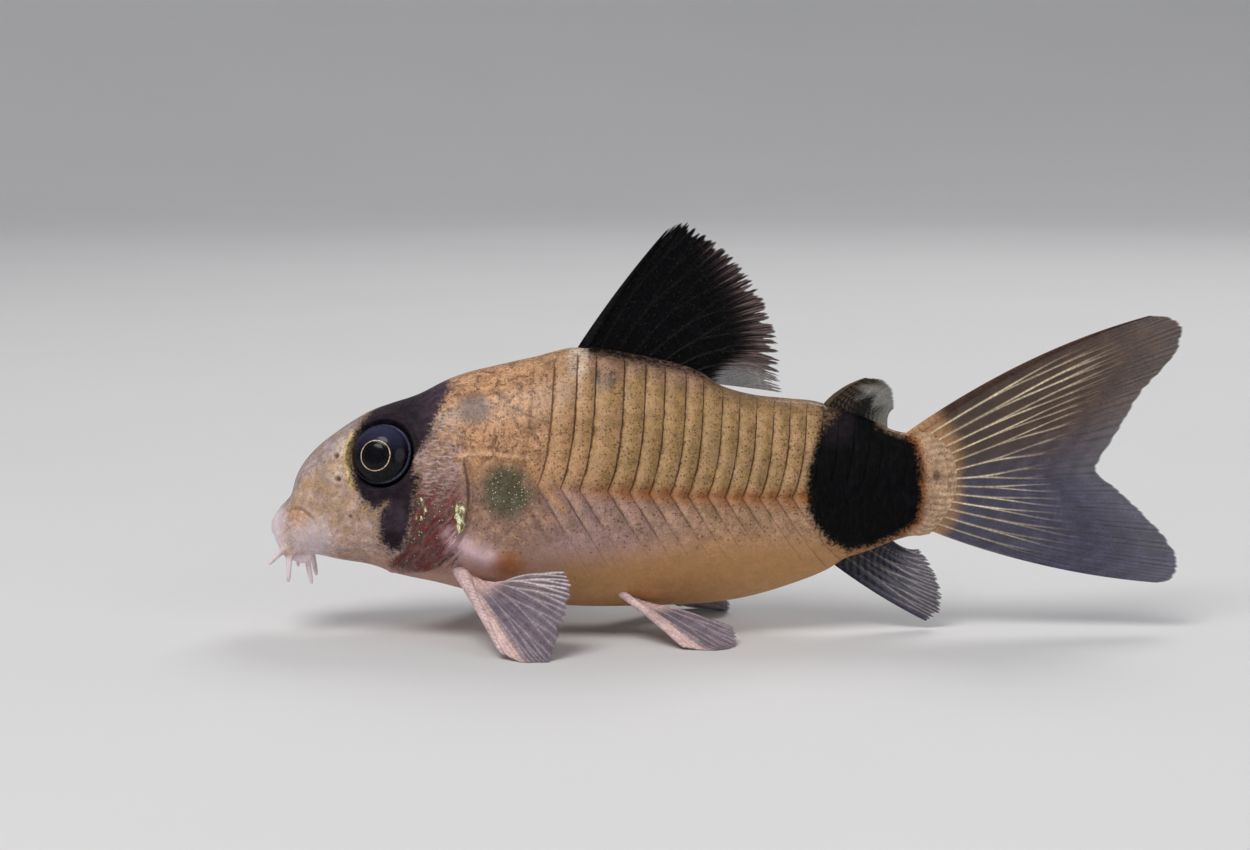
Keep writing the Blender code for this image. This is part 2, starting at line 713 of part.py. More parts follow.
def build_adipose_fin(material):
    """The small fin near the tail: one spine along its front, and a web behind it."""
    roots = np.linspace(*ADIPOSE_ROOTS, len(ADIPOSE_TIPS))
    rays = []
    for i, (x, (tip_x, tip_z)) in enumerate(zip(roots, ADIPOSE_TIPS)):
        half = SPINE_HALF if i == 0 else WEB_HALF
        rays.append((back_root(x), (tip_x, 0.0, tip_z), (-0.1, 0.0, 0.12), half))
    return fin_object("adipose_fin", rays, material, 5, 0.0, SIDEWAYS)


CAUDAL_AXIS_Z = 8.4
CAUDAL_FORK = (45.5, 8.95)
UPPER_LOBE_TIPS = [
    (48.3, 17.42), (49.3, 17.35), (50.0, 16.75), (49.8, 15.6), (48.95, 14.4), (47.8, 13.1),
    (46.65, 11.2), CAUDAL_FORK,
]
LOWER_LOBE_TIPS = [
    (49.0, 2.6), (49.75, 2.85), (50.08, 3.55), (49.75, 4.6), (48.85, 5.7), (47.75, 6.8),
    (46.6, 7.85), CAUDAL_FORK,
]
UPPER_EDGE_BOW = 0.62
LOWER_EDGE_BOW = 0.5
UPPER_ROOT_Z = 11.5
LOWER_ROOT_Z = 5.5


def caudal_root(z):
    """A place on the fleshy tail's rounded end, one gap behind it."""
    return np.array([TAIL_END_X + float(tail_end(z)) + GAP, 0.0, z])


def build_caudal_lobe(name, upper, material):
    """Half of the tail fin. Its rays fan out from the fleshy tail, and the outer ones bow."""
    tips = UPPER_LOBE_TIPS if upper else LOWER_LOBE_TIPS
    root_z = UPPER_ROOT_Z if upper else LOWER_ROOT_Z
    edge_bow = UPPER_EDGE_BOW if upper else -LOWER_EDGE_BOW
    apart = GAP / 2 if upper else -GAP / 2
    inner_z = CAUDAL_AXIS_Z + apart
    rays = []
    for i, (tip_x, tip_z) in enumerate(tips):
        share = i / (len(tips) - 1)
        root = caudal_root(root_z + (inner_z - root_z) * share)
        tip = (tip_x, 0.0, tip_z + apart * share)
        bow = (0.0, 0.0, edge_bow * (1 - share) ** 1.5)
        half = SPINE_HALF if i == 0 else RAY_HALF
        rays.append((root, tip, bow, half))
    return fin_object(name, rays, material, 8, 0.03, SIDEWAYS)


PECTORAL_ROOT_X = (10.75, 12.7)
PECTORAL_ROOT_ANGLE = (math.radians(125), math.radians(127))
PECTORAL_TIPS = [
    (12.95, 8.9, 0.35), (14.4, 9.9, -0.35), (15.4, 9.7, -0.3), (16.0, 8.9, 1.3),
    (16.4, 8.2, 2.6), (16.6, 7.4, 3.6), (16.3, 6.7, 4.4),
]
PELVIC_ROOT_X = (19.6, 21.2)
PELVIC_ROOT_ANGLE = (math.radians(139), math.radians(150))
PELVIC_TIPS = [
    (22.6, 6.2, 0.1), (24.2, 6.4, -0.35), (25.2, 5.8, -0.35), (25.5, 4.8, 0.3), (25.4, 3.9, 0.8),
]


def paired_rays(root_x, root_angle, tips, side, bow):
    """Rays of a paired fin, from a slanting root on the flank to tips given for the +Y side."""
    rays = []
    count = len(tips)
    for i, tip in enumerate(tips):
        share = i / (count - 1)
        x = root_x[0] + (root_x[1] - root_x[0]) * share
        angle = root_angle[0] + (root_angle[1] - root_angle[0]) * share
        root = on_side(skin_point(x, angle), side) + outward(x, angle, side) * (GAP + 0.12)
        half = SPINE_HALF if i == 0 else RAY_HALF
        rays.append((root, on_side(tip, side), on_side(bow, side), half))
    return rays


def build_pectoral_fin(side, material):
    name = "pectoral_fin_left" if side < 0 else "pectoral_fin_right"
    rays = paired_rays(PECTORAL_ROOT_X, PECTORAL_ROOT_ANGLE, PECTORAL_TIPS, side,
                       (-0.1, 0.15, 0.25))
    return cut_at_floor(fin_object(name, rays, material, 7, 0.05))


def build_pelvic_fin(side, material):
    name = "pelvic_fin_left" if side < 0 else "pelvic_fin_right"
    rays = paired_rays(PELVIC_ROOT_X, PELVIC_ROOT_ANGLE, PELVIC_TIPS, side, (0.0, 0.1, 0.12))
    return cut_at_floor(fin_object(name, rays, material, 6, 0.05))


# Each barbel: its tip, for the +Y side
BARBEL_TIPS = {
    "barbel_upper": (0.0, 2.75, 4.1),
    "barbel_lower": (1.05, 2.55, 3.1),
    "barbel_chin": (2.2, 1.35, 2.8),
}


def barbel_root(kind):
    """The middle of the lip that a barbel grows from, and how far that lip reaches."""
    if kind == "barbel_chin":
        return lower_lip_point(math.radians(40)), LOWER_LIP_RADIUS
    return mouth_corner(1), LIP_CORNER_RADIUS


def build_barbel(kind, side, material):
    """A tapering feeler that starts one gap off its lip and bends towards its tip."""
    lip, reach = barbel_root(kind)
    lip, tip = on_side(lip, side), on_side(BARBEL_TIPS[kind], side)
    ahead = (tip - lip) / np.linalg.norm(tip - lip)
    start = lip + ahead * (reach + GAP)
    sag = np.array([0.0, side * 0.1, 0.08])
    shares = np.linspace(0, 1, 7)
    path = [bowed(start, tip, sag, s) for s in shares]
    radii = BARBEL_ROOT_RADIUS + (BARBEL_TIP_RADIUS - BARBEL_ROOT_RADIUS) * shares**1.2
    name = kind + ("_left" if side < 0 else "_right")
    return tube(name, path, radii, material, 8)


def main():
    for old in list(bpy.data.objects):
        bpy.data.objects.remove(old)
    colours = {name: make_material(name, colour, 0.4) for name, colour in COLOURS.items()}
    build_head(colours["tan"])
    build_trunk(colours["tan"])
    build_tail(colours["black"])
    build_dorsal_fin(colours["fin_black"])
    build_adipose_fin(colours["fin"])
    build_anal_fin(colours["fin"])
    build_caudal_lobe("caudal_fin_upper", True, colours["fin"])
    build_caudal_lobe("caudal_fin_lower", False, colours["fin"])
    for side in (-1, 1):
        build_eye(side, colours["black"])
        build_pectoral_fin(side, colours["fin"])
        build_pelvic_fin(side, colours["fin"])
        for kind in BARBEL_TIPS:
            build_barbel(kind, side, colours["barbel"])


main()
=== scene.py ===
"""The looks of a corydoras catfish: armoured skin, eyes, lips, barbels and fins.

Sizes are in millimetres: x from the tip of the snout, y from the plane of symmetry and z
from the floor, as in the part's own source. They become metres where a mesh is made.
"""

import math

import bmesh
import bpy
import numpy as np
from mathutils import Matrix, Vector


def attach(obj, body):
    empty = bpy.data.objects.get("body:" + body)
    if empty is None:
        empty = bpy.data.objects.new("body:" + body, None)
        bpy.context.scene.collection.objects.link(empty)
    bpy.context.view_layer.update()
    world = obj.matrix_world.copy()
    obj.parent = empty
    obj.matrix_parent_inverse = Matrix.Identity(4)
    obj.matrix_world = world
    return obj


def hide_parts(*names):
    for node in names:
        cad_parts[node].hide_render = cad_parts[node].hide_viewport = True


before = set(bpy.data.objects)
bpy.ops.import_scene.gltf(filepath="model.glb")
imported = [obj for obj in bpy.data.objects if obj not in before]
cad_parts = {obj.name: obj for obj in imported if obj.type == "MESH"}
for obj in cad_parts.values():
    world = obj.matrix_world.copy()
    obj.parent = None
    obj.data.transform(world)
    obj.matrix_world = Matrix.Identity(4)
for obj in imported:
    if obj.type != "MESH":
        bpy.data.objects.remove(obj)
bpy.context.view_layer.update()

MM = 0.001
GAP = 0.3
MIDDLE_X = 25.0
RANDOM = np.random.default_rng(7)

# The body's lines, as in the CAD
BACK_LINE = [
    (0.3, 6.9), (0.85, 7.3), (1.12, 7.8), (1.3, 8.5), (1.58, 9.09), (2.02, 9.68),
    (2.65, 10.32), (3.5, 10.97), (4.3, 11.52), (5.4, 12.15), (6.5, 12.55), (8.0, 13.05),
    (9.65, 13.88), (10.7, 14.27), (12.0, 14.6), (13.2, 14.88), (14.5, 15.16), (15.75, 15.5),
    (16.6, 15.66), (18.0, 15.5), (20.2, 15.1), (22.4, 14.6), (23.5, 14.2), (24.6, 13.6),
    (26.3, 13.1), (28.5, 12.85), (29.9, 12.7), (31.2, 12.25), (32.4, 11.9), (33.4, 11.45),
    (34.2, 11.1), (35.0, 10.95), (35.7, 11.1), (37.4, 11.7),
]
BELLY_LINE = [
    (0.3, 4.9), (1.0, 4.45), (2.4, 4.27), (3.7, 3.99), (5.4, 3.71), (7.0, 3.18), (9.2, 2.72),
    (10.3, 2.44), (12.5, 1.9), (15.8, 1.5), (18.0, 1.4), (22.0, 1.45), (25.7, 1.78),
    (29.0, 2.72), (30.7, 3.44), (31.5, 3.95), (32.9, 4.43), (34.5, 5.04), (35.4, 5.22),
    (37.4, 5.15),
]
HALF_WIDTHS = [
    (0.3, 1.6), (0.6, 1.85), (1.0, 2.05), (2.0, 2.4), (3.2, 2.75), (4.5, 3.05), (6.0, 3.35),
    (8.0, 3.85), (10.0, 4.3), (12.0, 4.6), (14.5, 4.75), (17.0, 4.7), (19.0, 4.5),
    (21.0, 4.2), (25.0, 3.4), (29.0, 2.5), (33.0, 1.65), (35.0, 1.25), (37.4, 0.75),
]
WIDEST_LINE = [
    (0.3, 5.75), (2.0, 6.0), (4.0, 6.6), (6.0, 6.9), (9.0, 6.6), (12.0, 6.4), (16.0, 6.6),
    (20.0, 7.0), (24.0, 7.4), (28.0, 7.7), (32.0, 8.0), (37.4, 8.4),
]
NOSE_START = 0.3
NOSE_ROUNDING = 0.9
HEAD_SQUARENESS = 2.5
BACK_SQUARENESS = 2.05
BELLY_SQUARENESS = 2.4
SIDE_LINE = [(0.0, 8.8), (12.0, 8.7), (16.0, 8.5), (29.0, 7.7), (37.4, 8.4)]
PLATE_EDGES = [
    13.6, 14.7, 15.95, 16.95, 18.5, 19.65, 20.7, 21.85, 22.8, 23.85, 24.8, 25.75, 26.7, 27.6,
    28.5, 29.4, 30.3, 31.2, 32.1, 32.95, 33.8, 34.6,
]
UPPER_SWEEP = 0.95
UPPER_BEND = 2.2
LOWER_SLANT = 0.57
HEAD_END_X = 10.7
HEAD_END_Z = 7.0
NAPE_LEAN = 0.9
THROAT_LEAN = 1.5
NAPE_RISE = 8.0
THROAT_DROP = 4.3
TAIL_END_X = 37.2
TAIL_END_Z = 8.4
TAIL_END_LEAN = 1.3
TAIL_END_REACH = 3.0

EYE_X, EYE_Z = 6.1, 10.25
EYE_RADIUS = 1.78
EYE_DEPTH = 1.25
EYE_SINK = 0.78
EYE_UP_TILT = math.radians(21)
EYE_FORE_TURN = math.radians(13)
PUPIL_X, PUPIL_Z = 5.88, 10.17

MOUTH_X, MOUTH_Z = 1.1, 4.95
MOUTH_HALF_WIDTH = 1.7
UPPER_LIP_RADIUS = 0.68
UPPER_LIP_STRETCH = 1.5
UPPER_LIP_RISE = 0.9
LOWER_LIP_RADIUS = 0.42
LOWER_LIP_REACH = 0.95
LIP_CORNER_RADIUS = 0.5
NOSTRILS = ((3.75, 9.95), (3.85, 8.75))
BARBEL_TIPS = {
    "barbel_upper": (0.03, 2.75, 4.1),
    "barbel_lower": (1.05, 2.55, 3.1),
    "barbel_chin": (2.2, 1.35, 2.8),
}


def smooth_line(points, x):
    """The height at x of a smooth line through the points, with no overshoot between them."""
    xs, ys = (np.array(values, float) for values in zip(*points))
    widths = np.diff(xs)
    slopes = np.diff(ys) / widths
    tangents = np.concatenate([slopes[:1], (slopes[:-1] + slopes[1:]) / 2, slopes[-1:]])
    turning = slopes[:-1] * slopes[1:] <= 0
    tangents[1:-1][turning] = 0.0
    limit = 3 * np.minimum(np.abs(slopes[:-1]), np.abs(slopes[1:]))
    tangents[1:-1] = np.clip(tangents[1:-1], -limit, limit)
    x = np.clip(x, xs[0], xs[-1])
    i = np.clip(np.searchsorted(xs, x) - 1, 0, len(widths) - 1)
    t = (x - xs[i]) / widths[i]
    blend = t * t * (3 - 2 * t)
    bow = t * (1 - t) * widths[i]
    lean = (1 - t) * (tangents[i]) - t * tangents[i + 1]
    straight = (1 - blend) * ys[i] + blend * ys[i + 1]
    return straight + bow * lean


def ease(low, high, x):
    """0 below low, 1 above high, and a smooth rise between."""
    t = np.clip((np.asarray(x, float) - low) / (high - low), 0, 1)
    return t * t * (3 - 2 * t)


def bell(x, middle, width):
    return np.exp(-(((x - middle) / width) ** 2))


def upper_squareness(x):
    return HEAD_SQUARENESS + (BACK_SQUARENESS - HEAD_SQUARENESS) * ease(7.0, 13.0, x)


def skin_point(x, angle):
    """The body's bare surface at a length x. The angle is 0 at the back and pi at the belly."""
    x, angle = np.broadcast_arrays(np.asarray(x, float), np.asarray(angle, float))
    nose = np.clip((x - NOSE_START) / NOSE_ROUNDING, 0, 1)
    nose = np.sqrt(1 - (1 - nose) ** 2)
    middle = smooth_line(WIDEST_LINE, x)
    upper = np.cos(angle) >= 0
    back = smooth_line(BACK_LINE, x) - middle
    belly = middle - smooth_line(BELLY_LINE, x)
    height = np.where(upper, back, belly) * nose
    width = smooth_line(HALF_WIDTHS, x) * nose
    power = 2 / np.where(upper, upper_squareness(x), BELLY_SQUARENESS)
    side = np.abs(np.sin(angle)) ** power
    rise = np.abs(np.cos(angle)) ** power * np.where(upper, 1, -1)
    return np.stack([x, width * side, middle + height * rise], axis=-1)


def angle_at(x, z):
    """The angle at which the surface at a length x has the height z."""
    middle = smooth_line(WIDEST_LINE, x)
    if z >= middle:
        share = (z - middle) / (smooth_line(BACK_LINE, x) - middle)
        return math.acos(share ** (upper_squareness(x) / 2))
    share = (middle - z) / (middle - smooth_line(BELLY_LINE, x))
    return math.pi - math.acos(share ** (BELLY_SQUARENESS / 2))


def side_angle(x):
    middle = smooth_line(WIDEST_LINE, x)
    back = smooth_line(BACK_LINE, x)
    share = np.clip((smooth_line(SIDE_LINE, x) - middle) / (back - middle), 0, 0.95)
    return np.arccos(share ** (upper_squareness(x) / 2))


def chevron(z, x):
    above = z - smooth_line(SIDE_LINE, x)
    swept = UPPER_SWEEP * (1 - np.exp(-np.maximum(above, 0) / UPPER_BEND))
    return np.where(above > 0, swept, -LOWER_SLANT * above)


def head_end(z):
    above = z - HEAD_END_Z
    nape = -NAPE_LEAN * (above / NAPE_RISE) ** 2
    throat = -THROAT_LEAN * (above / THROAT_DROP) ** 2
    return np.where(above > 0, nape, throat)


def tail_end(z):
    return -TAIL_END_LEAN * ((z - TAIL_END_Z) / TAIL_END_REACH) ** 2


def on_side(point, side):
    return np.array(point, float) * (1, side, 1)


def outward(x, angle, side):
    """The direction in which the bare skin faces, at a place on one side of the body."""
    step = 0.05
    along = skin_point(x + step, angle) - skin_point(x - step, angle)
    round_body = skin_point(x, angle + step) - skin_point(x, angle - step)
    normal = np.cross(round_body, along)
    normal /= np.linalg.norm(normal)
    if normal[1] < 0:
        normal = -normal
    return normal * (1, side, 1)


def eye_axis(side):
    level = math.cos(EYE_UP_TILT)
    return np.array((-math.sin(EYE_FORE_TURN) * level, side * math.cos(EYE_FORE_TURN) * level,
                     math.sin(EYE_UP_TILT)))


def eye_centre(side):
    skin = on_side(skin_point(EYE_X, angle_at(EYE_X, EYE_Z)), side)
    return skin - eye_axis(side) * EYE_SINK


# Colours and places
def tone(red, green, blue):
    """A colour named by its screen values, as the linear values that a shader takes."""
    values = np.array((red, green, blue), float) / 255
    return np.where(values <= 0.04045, values / 12.92, ((values + 0.055) / 1.055) ** 2.4)


GOLD_TAN = tone(172, 138, 92)
NAPE_ORANGE = tone(206, 158, 118)
BACK_DUSK = tone(118, 94, 72)
SIDE_ORANGE = tone(156, 90, 40)
LOWER_MAUVE = tone(170, 138, 134)
LOWER_TAN = tone(184, 146, 116)
BELLY_TAN = tone(184, 138, 92)
BREAST_PINK = tone(198, 158, 138)
SNOUT_TAN = tone(176, 148, 128)
SNOUT_MAUVE = tone(168, 152, 154)
FACE_PINK = tone(186, 158, 148)
LIP_LILAC = tone(230, 214, 220)
THROAT_PINK = tone(168, 130, 120)
TEMPLE_PINK = tone(148, 118, 110)
PALE_TUFT = tone(208, 184, 174)
GILL_MAUVE = tone(88, 54, 54)
GILL_RED = tone(118, 26, 30)
PEARL = tone(232, 212, 192)
SHOULDER_GREEN = tone(92, 92, 74)
SHOULDER_TAN = tone(150, 118, 96)
CLEITHRUM_ORANGE = tone(196, 146, 102)
PECTORAL_LILAC = tone(220, 188, 194)
SPOT_GREY = tone(100, 90, 90)
ORBIT_GOLD = tone(238, 206, 140)
TAIL_TAN = tone(186, 148, 118)
TAIL_EDGE_ORANGE = tone(150, 92, 48)
INK = tone(3, 6, 9)
# A painted bluish sheen on the black pigment
INK_SHEEN_BLUE = tone(24, 27, 34)
INK_MAUVE = tone(78, 64, 76)
DARK_BROWN = tone(62, 42, 32)

RAY_CREAM = tone(250, 234, 200)
BASE_ORANGE = tone(176, 136, 102)

# Outlines of the dark markings, as lengths and heights on the flank
MASK_OUTLINE = [
    (5.35, 13.3), (5.6, 12.4), (5.1, 11.7), (4.72, 10.9), (4.55, 10.2), (4.6, 9.4),
    (4.75, 8.7), (4.92, 8.27), (5.33, 7.73), (5.82, 7.31), (6.70, 7.67), (6.32, 7.11), (6.21, 6.51), (6.30, 5.51),
    (6.73, 4.90), (7.28, 5.04), (7.63, 5.96), (7.85, 7.06), (7.96, 8.14), (8.28, 9.06),
    (7.95, 9.11), (7.94, 9.84), (8.10, 10.27), (8.47, 10.75), (8.84, 11.43), (9.24, 12.41),
    (9.69, 13.32), (9.9, 15.2),
]
TAIL_PATCH_OUTLINE = [
    (30.7, 13.4), (30.35, 12.2), (29.8, 10.6), (29.38, 9.19), (29.36, 8.00), (29.39, 7.01), (29.89, 6.00),
    (30.57, 5.29), (31.59, 4.58), (32.99, 4.79), (34.14, 5.28), (35.44, 6.13), (35.70, 7.47),
    (35.60, 9.34), (35.30, 10.46), (34.84, 10.80), (34.01, 11.0), (33.3, 11.4), (33.2, 13.4),
]
GILL_OPENING = [(10.75, 9.9), (10.95, 8.9), (11.0, 7.96), (10.9, 7.0), (10.73, 6.35),
                (10.35, 5.6), (9.75, 4.8), (8.89, 3.95), (7.6, 3.5)]
PREOPERCLE = [(8.15, 9.1), (7.95, 8.0), (7.85, 6.9), (7.75, 5.8), (7.35, 4.9), (6.6, 4.3)]
CLEITHRUM = [(10.28, 10.07), (11.63, 10.19), (13.25, 10.11), (14.16, 9.96), (14.87, 8.80),
             (16.15, 7.36)]
PECTORAL_LOBE = [(9.5, 6.0), (10.5, 5.35), (11.8, 4.8), (12.8, 4.6)]
MOUTH_FOLD = [(1.0, 6.75), (1.4, 7.0), (1.8, 6.98), (2.4, 6.55), (2.75, 6.05)]
ORBIT_GOLD_LINE = [(4.55, 11.1), (4.32, 10.5), (4.28, 9.8), (4.4, 9.0), (4.66, 8.3)]


def mix(first, second, share):
    """A blend of two colours, or of arrays of them, by an array of shares."""
    share = np.clip(np.asarray(share, float), 0, 1)[..., None]
    return np.asarray(first) * (1 - share) + np.asarray(second) * share


def line_distance(line, x, z):
    """The distance in the side view from each place to a line of points."""
    nearest = np.full(np.shape(x), 1e9)
    for (ax, az), (bx, bz) in zip(line, line[1:]):
        dx, dz = bx - ax, bz - az
        t = np.clip(((x - ax) * dx + (z - az) * dz) / (dx * dx + dz * dz), 0, 1)
        nearest = np.minimum(nearest, np.hypot(x - ax - t * dx, z - az - t * dz))
    return nearest


def outline_depth(outline, x, z):
    """How far each place lies inside a closed outline; below 0 it lies outside."""
    closed = outline + outline[:1]
    inside = np.zeros(np.shape(x), bool)
    for (ax, az), (bx, bz) in zip(closed, closed[1:]):
        if az == bz:
            continue
        crossing = ax + (z - az) * (bx - ax) / (bz - az)
        inside ^= ((az > z) != (bz > z)) & (x < crossing)
    return np.where(inside, 1, -1) * line_distance(closed, x, z)


def behind_line(line, x, z):
    """How far each place lies behind a line that runs from its top to its foot."""
    zs = np.array([p[1] for p in line])[::-1]
    xs = np.array([p[0] for p in line])[::-1]
    return x - np.interp(z, zs, xs)


def spot(x, z, middle_x, middle_z, half_x, half_z, soft=0.35):
    away = np.hypot((x - middle_x) / half_x, (z - middle_z) / half_z)
    return 1 - ease(1 - soft, 1 + soft, away)


def paint_skin(points):
    """Colour and markings of the skin at points in millimetres, as named arrays."""
    x, y, z = np.abs(points[:, 0]), np.abs(points[:, 1]), points[:, 2]
    back = smooth_line(BACK_LINE, x)
    belly = smooth_line(BELLY_LINE, x)
    above = z - smooth_line(SIDE_LINE, x)
    height = (z - belly) / (back - belly)
    flank = ease(-0.6, 0.5, behind_line(GILL_OPENING, x, np.clip(z, 3.5, 9.9)))

    colour = mix(BREAST_PINK, BELLY_TAN, ease(11.0, 17.0, x))
    lower = mix(LOWER_MAUVE, LOWER_TAN, ease(17.0, 26.0, x))
    colour = mix(colour, lower, ease(4.0, 6.4, z + 0.12 * (22 - x) * ease(30, 22, x)))
    upper = mix(NAPE_ORANGE, GOLD_TAN, ease(14.5, 20.0, x))
    colour = mix(colour, upper, ease(-0.5, 0.5, above))
    colour = mix(colour, BACK_DUSK, 0.7 * ease(0.88, 1.0, height) * ease(14.0, 19.0, x))
    colour = mix(colour, SHOULDER_TAN, spot(x, z, 13.0, 7.2, 2.6, 3.0, 0.5) * 0.7)

    face = mix(FACE_PINK, SNOUT_TAN, ease(5.2, 7.4, z))
    face = mix(face, SNOUT_MAUVE, ease(0.72, 0.95, height) * ease(5.5, 4.0, x))
    face = mix(face, THROAT_PINK, ease(4.9, 3.9, z) * ease(2.2, 4.0, x))
    face = mix(face, TEMPLE_PINK, ease(7.6, 8.4, x) * ease(6.8, 8.4, z) * ease(13.0, 11.0, z))
    face = mix(face, NAPE_ORANGE, 0.8 * ease(8.6, 9.8, x) * ease(10.4, 12.0, z))
    lip = ease(1.3, 0.3, x + 0.2 * np.maximum(z - 6.4, 0)) * ease(8.6, 7.0, z)
    lip = np.maximum(lip, ease(4.75, 4.2, z) * ease(3.2, 2.4, x))
    lip = np.maximum(lip, 0.75 * spot(x, z, 2.3, 5.3, 1.0, 1.3, 0.8))
    face = mix(face, LIP_LILAC, lip)
    face = mix(face, CLEITHRUM_ORANGE, 0.55 * spot(x, z, 1.75, 6.55, 0.55, 0.6, 0.7))
    before_eye = spot(x, z, 4.0, 10.3, 0.3, 0.6, 0.9) + spot(x, z, 3.75, 9.1, 0.4, 0.4, 0.9)
    face = mix(face, PEARL, 0.75 * before_eye)
    gill = ease(-0.15, 0.25, behind_line(PREOPERCLE, x, np.clip(z, 4.3, 9.1)))
    gill = gill * ease(9.0, 8.0, z) * ease(3.4, 4.2, z) * ease(10.9, 10.3, x)
    # Painted highlights of the gill's shine: a bright patch at the gill opening's edge and a softer one by the
    # mask
    gill_highlight = spot(x, z, 10.6, 7.05, 0.32, 0.85, 0.5)
    gill_highlight = np.maximum(gill_highlight, 0.5 * spot(x, z, 8.4, 7.2, 0.5, 0.95, 0.7))
    face = mix(face, mix(GILL_MAUVE, TEMPLE_PINK, 0.5 * ease(6.6, 8.4, z)), gill * 0.9)
    colour = mix(face, colour, flank)
    # Painted shade in the gill opening: a thin dark brown line along it
    slit = bell(line_distance(GILL_OPENING[:5], x, z), 0, 0.07)
    colour = mix(colour, DARK_BROWN, 0.75 * slit)

    green = spot(x, z, 13.05, 8.35, 1.35, 1.45, 0.4)
    colour = mix(colour, SHOULDER_GREEN, green * 0.95)
    edge = line_distance(CLEITHRUM, x, z)
    colour = mix(colour, CLEITHRUM_ORANGE, 0.75 * bell(edge, 0, 0.22))
    grey = spot(x, z, 11.31, 12.66, 0.85, 0.75, 0.5)
    grey = np.maximum(grey, spot(x, z, 18.33, 14.23, 0.7, 0.6, 0.5))
    colour = mix(colour, SPOT_GREY, 0.85 * grey)
    joint = spot(x, z, 16.9, 15.1, 0.6, 0.9)
    colour = mix(colour, PEARL, 0.8 * joint)
    crest = ease(0.9, 0.97, height) * ease(17.0, 18.0, x) * ease(24.5, 22.5, x)
    colour = mix(colour, TEMPLE_PINK, 0.5 * crest)
    lobe = line_distance(PECTORAL_LOBE, x, z)
    lilac = 0.95 * bell(lobe, 0, 0.6) * ease(9.4, 10.3, x) * ease(13.2, 12.0, x)
    colour = mix(colour, PECTORAL_LILAC, lilac)
    # Painted shade under the root of the pectoral fin, in an orange brown
    colour = mix(colour, SIDE_ORANGE, 0.75 * spot(x, z, 13.15, 4.35, 0.85, 0.75, 0.6))
    gold = bell(line_distance(ORBIT_GOLD_LINE, x, z), 0, 0.14)
    colour = mix(colour, ORBIT_GOLD, gold)
    tail = ease(35.0, 35.8, x)
    colour = mix(colour, TAIL_TAN, tail)
    root_height = np.where(z > TAIL_END_Z, 3.1, 2.9)
    fan = 7 * np.abs(z - TAIL_END_Z) / (root_height * np.maximum(x - 30, 1) / 7.2)
    between = ease(0.12, 0.4, np.abs(fan - np.round(fan)))
    near_end = ease(-1.5, 0.1, x - TAIL_END_X - tail_end(z))
    colour = mix(colour, mix(RAY_CREAM * 0.8, BASE_ORANGE * 0.7, between), 0.32 * near_end)
    patch = outline_depth(TAIL_PATCH_OUTLINE, x, z)
    colour = mix(colour, TAIL_EDGE_ORANGE, ease(-0.5, -0.05, patch) * ease(34.0, 35.2, x))
    colour = mix(colour, DARK_BROWN, 0.7 * spot(x, z, 36.54, 8.66, 0.22, 0.3))
    # Each nostril: a pale rim, and painted shade in its pit
    for nx, nz in NOSTRILS:
        away = np.hypot(x - nx, z - nz)
        colour = mix(colour, PALE_TUFT, 0.35 * bell(away, 0.28, 0.12))
        colour = mix(colour, DARK_BROWN, 0.6 * ease(0.16, 0.06, away))
    colour = mix(colour, DARK_BROWN, 0.8 * spot(x, z, 4.56, 6.79, 0.09, 0.09))

    mask = outline_depth(MASK_OUTLINE, x, z) + 0.06
    ridge = ease(0.42, 0.18, y) * ease(7.0, 9.0, z)
    faint = spot(x, z, 30.8, 12.2, 0.9, 1.0, 0.8)
    black = np.maximum(mask - 0.3 * ridge, patch * (1 - 0.85 * faint))
    foot_depth = np.interp(x, [17.0, 17.5, 20.0, 23.5, 25.0], [-0.2, 0.18, 0.12, 0.04, -0.2])
    black = np.maximum(black, foot_depth - np.maximum(back - z, 0))

    plated = ease(13.1, 13.7, x - chevron(z, x))
    speck = 0.5 * plated * ease(4.8, 6.6, z) * (1 - 0.45 * ease(0.3, -0.6, above))
    speck = np.maximum(speck, 0.4 * ease(9.4, 10.4, x) * ease(10.0, 11.0, z))
    speck = np.maximum(speck, 0.1 * ease(7.0, 7.8, z) * (1 - flank) * ease(1.8, 2.8, x))
    speck = np.maximum(speck, 0.05 * (1 - flank) * ease(4.4, 5.4, z) * ease(2.8, 3.8, x))
    speck = np.maximum(speck, 0.95 * green)
    speck = np.maximum(speck, 0.85 * spot(x, z, 16.9, 15.2, 0.7, 0.8))
    speck = np.maximum(speck, 0.16 * spot(x, z, 13.0, 6.8, 2.4, 2.2))
    speck = speck * (1 - 0.8 * bell(lobe, 0, 0.6)) * (1 - 0.7 * tail)
    speck = np.maximum(speck, 0.85 * bell(black, -0.2, 0.22))
    line = plated * ease(34.4, 33.6, x)
    line = line * ease(5.2, 7.3, z - 0.6 * ease(20.0, 27.0, x) * ease(8.5, 7.5, z))
    line = line * (1 - 0.3 * ease(0.5, -0.5, above)) * (0.35 + 0.65 * ease(13.8, 16.5, x))
    line = line * ease(0.1, 0.5, back - z - 0.5 * ease(23.5, 25.5, x))
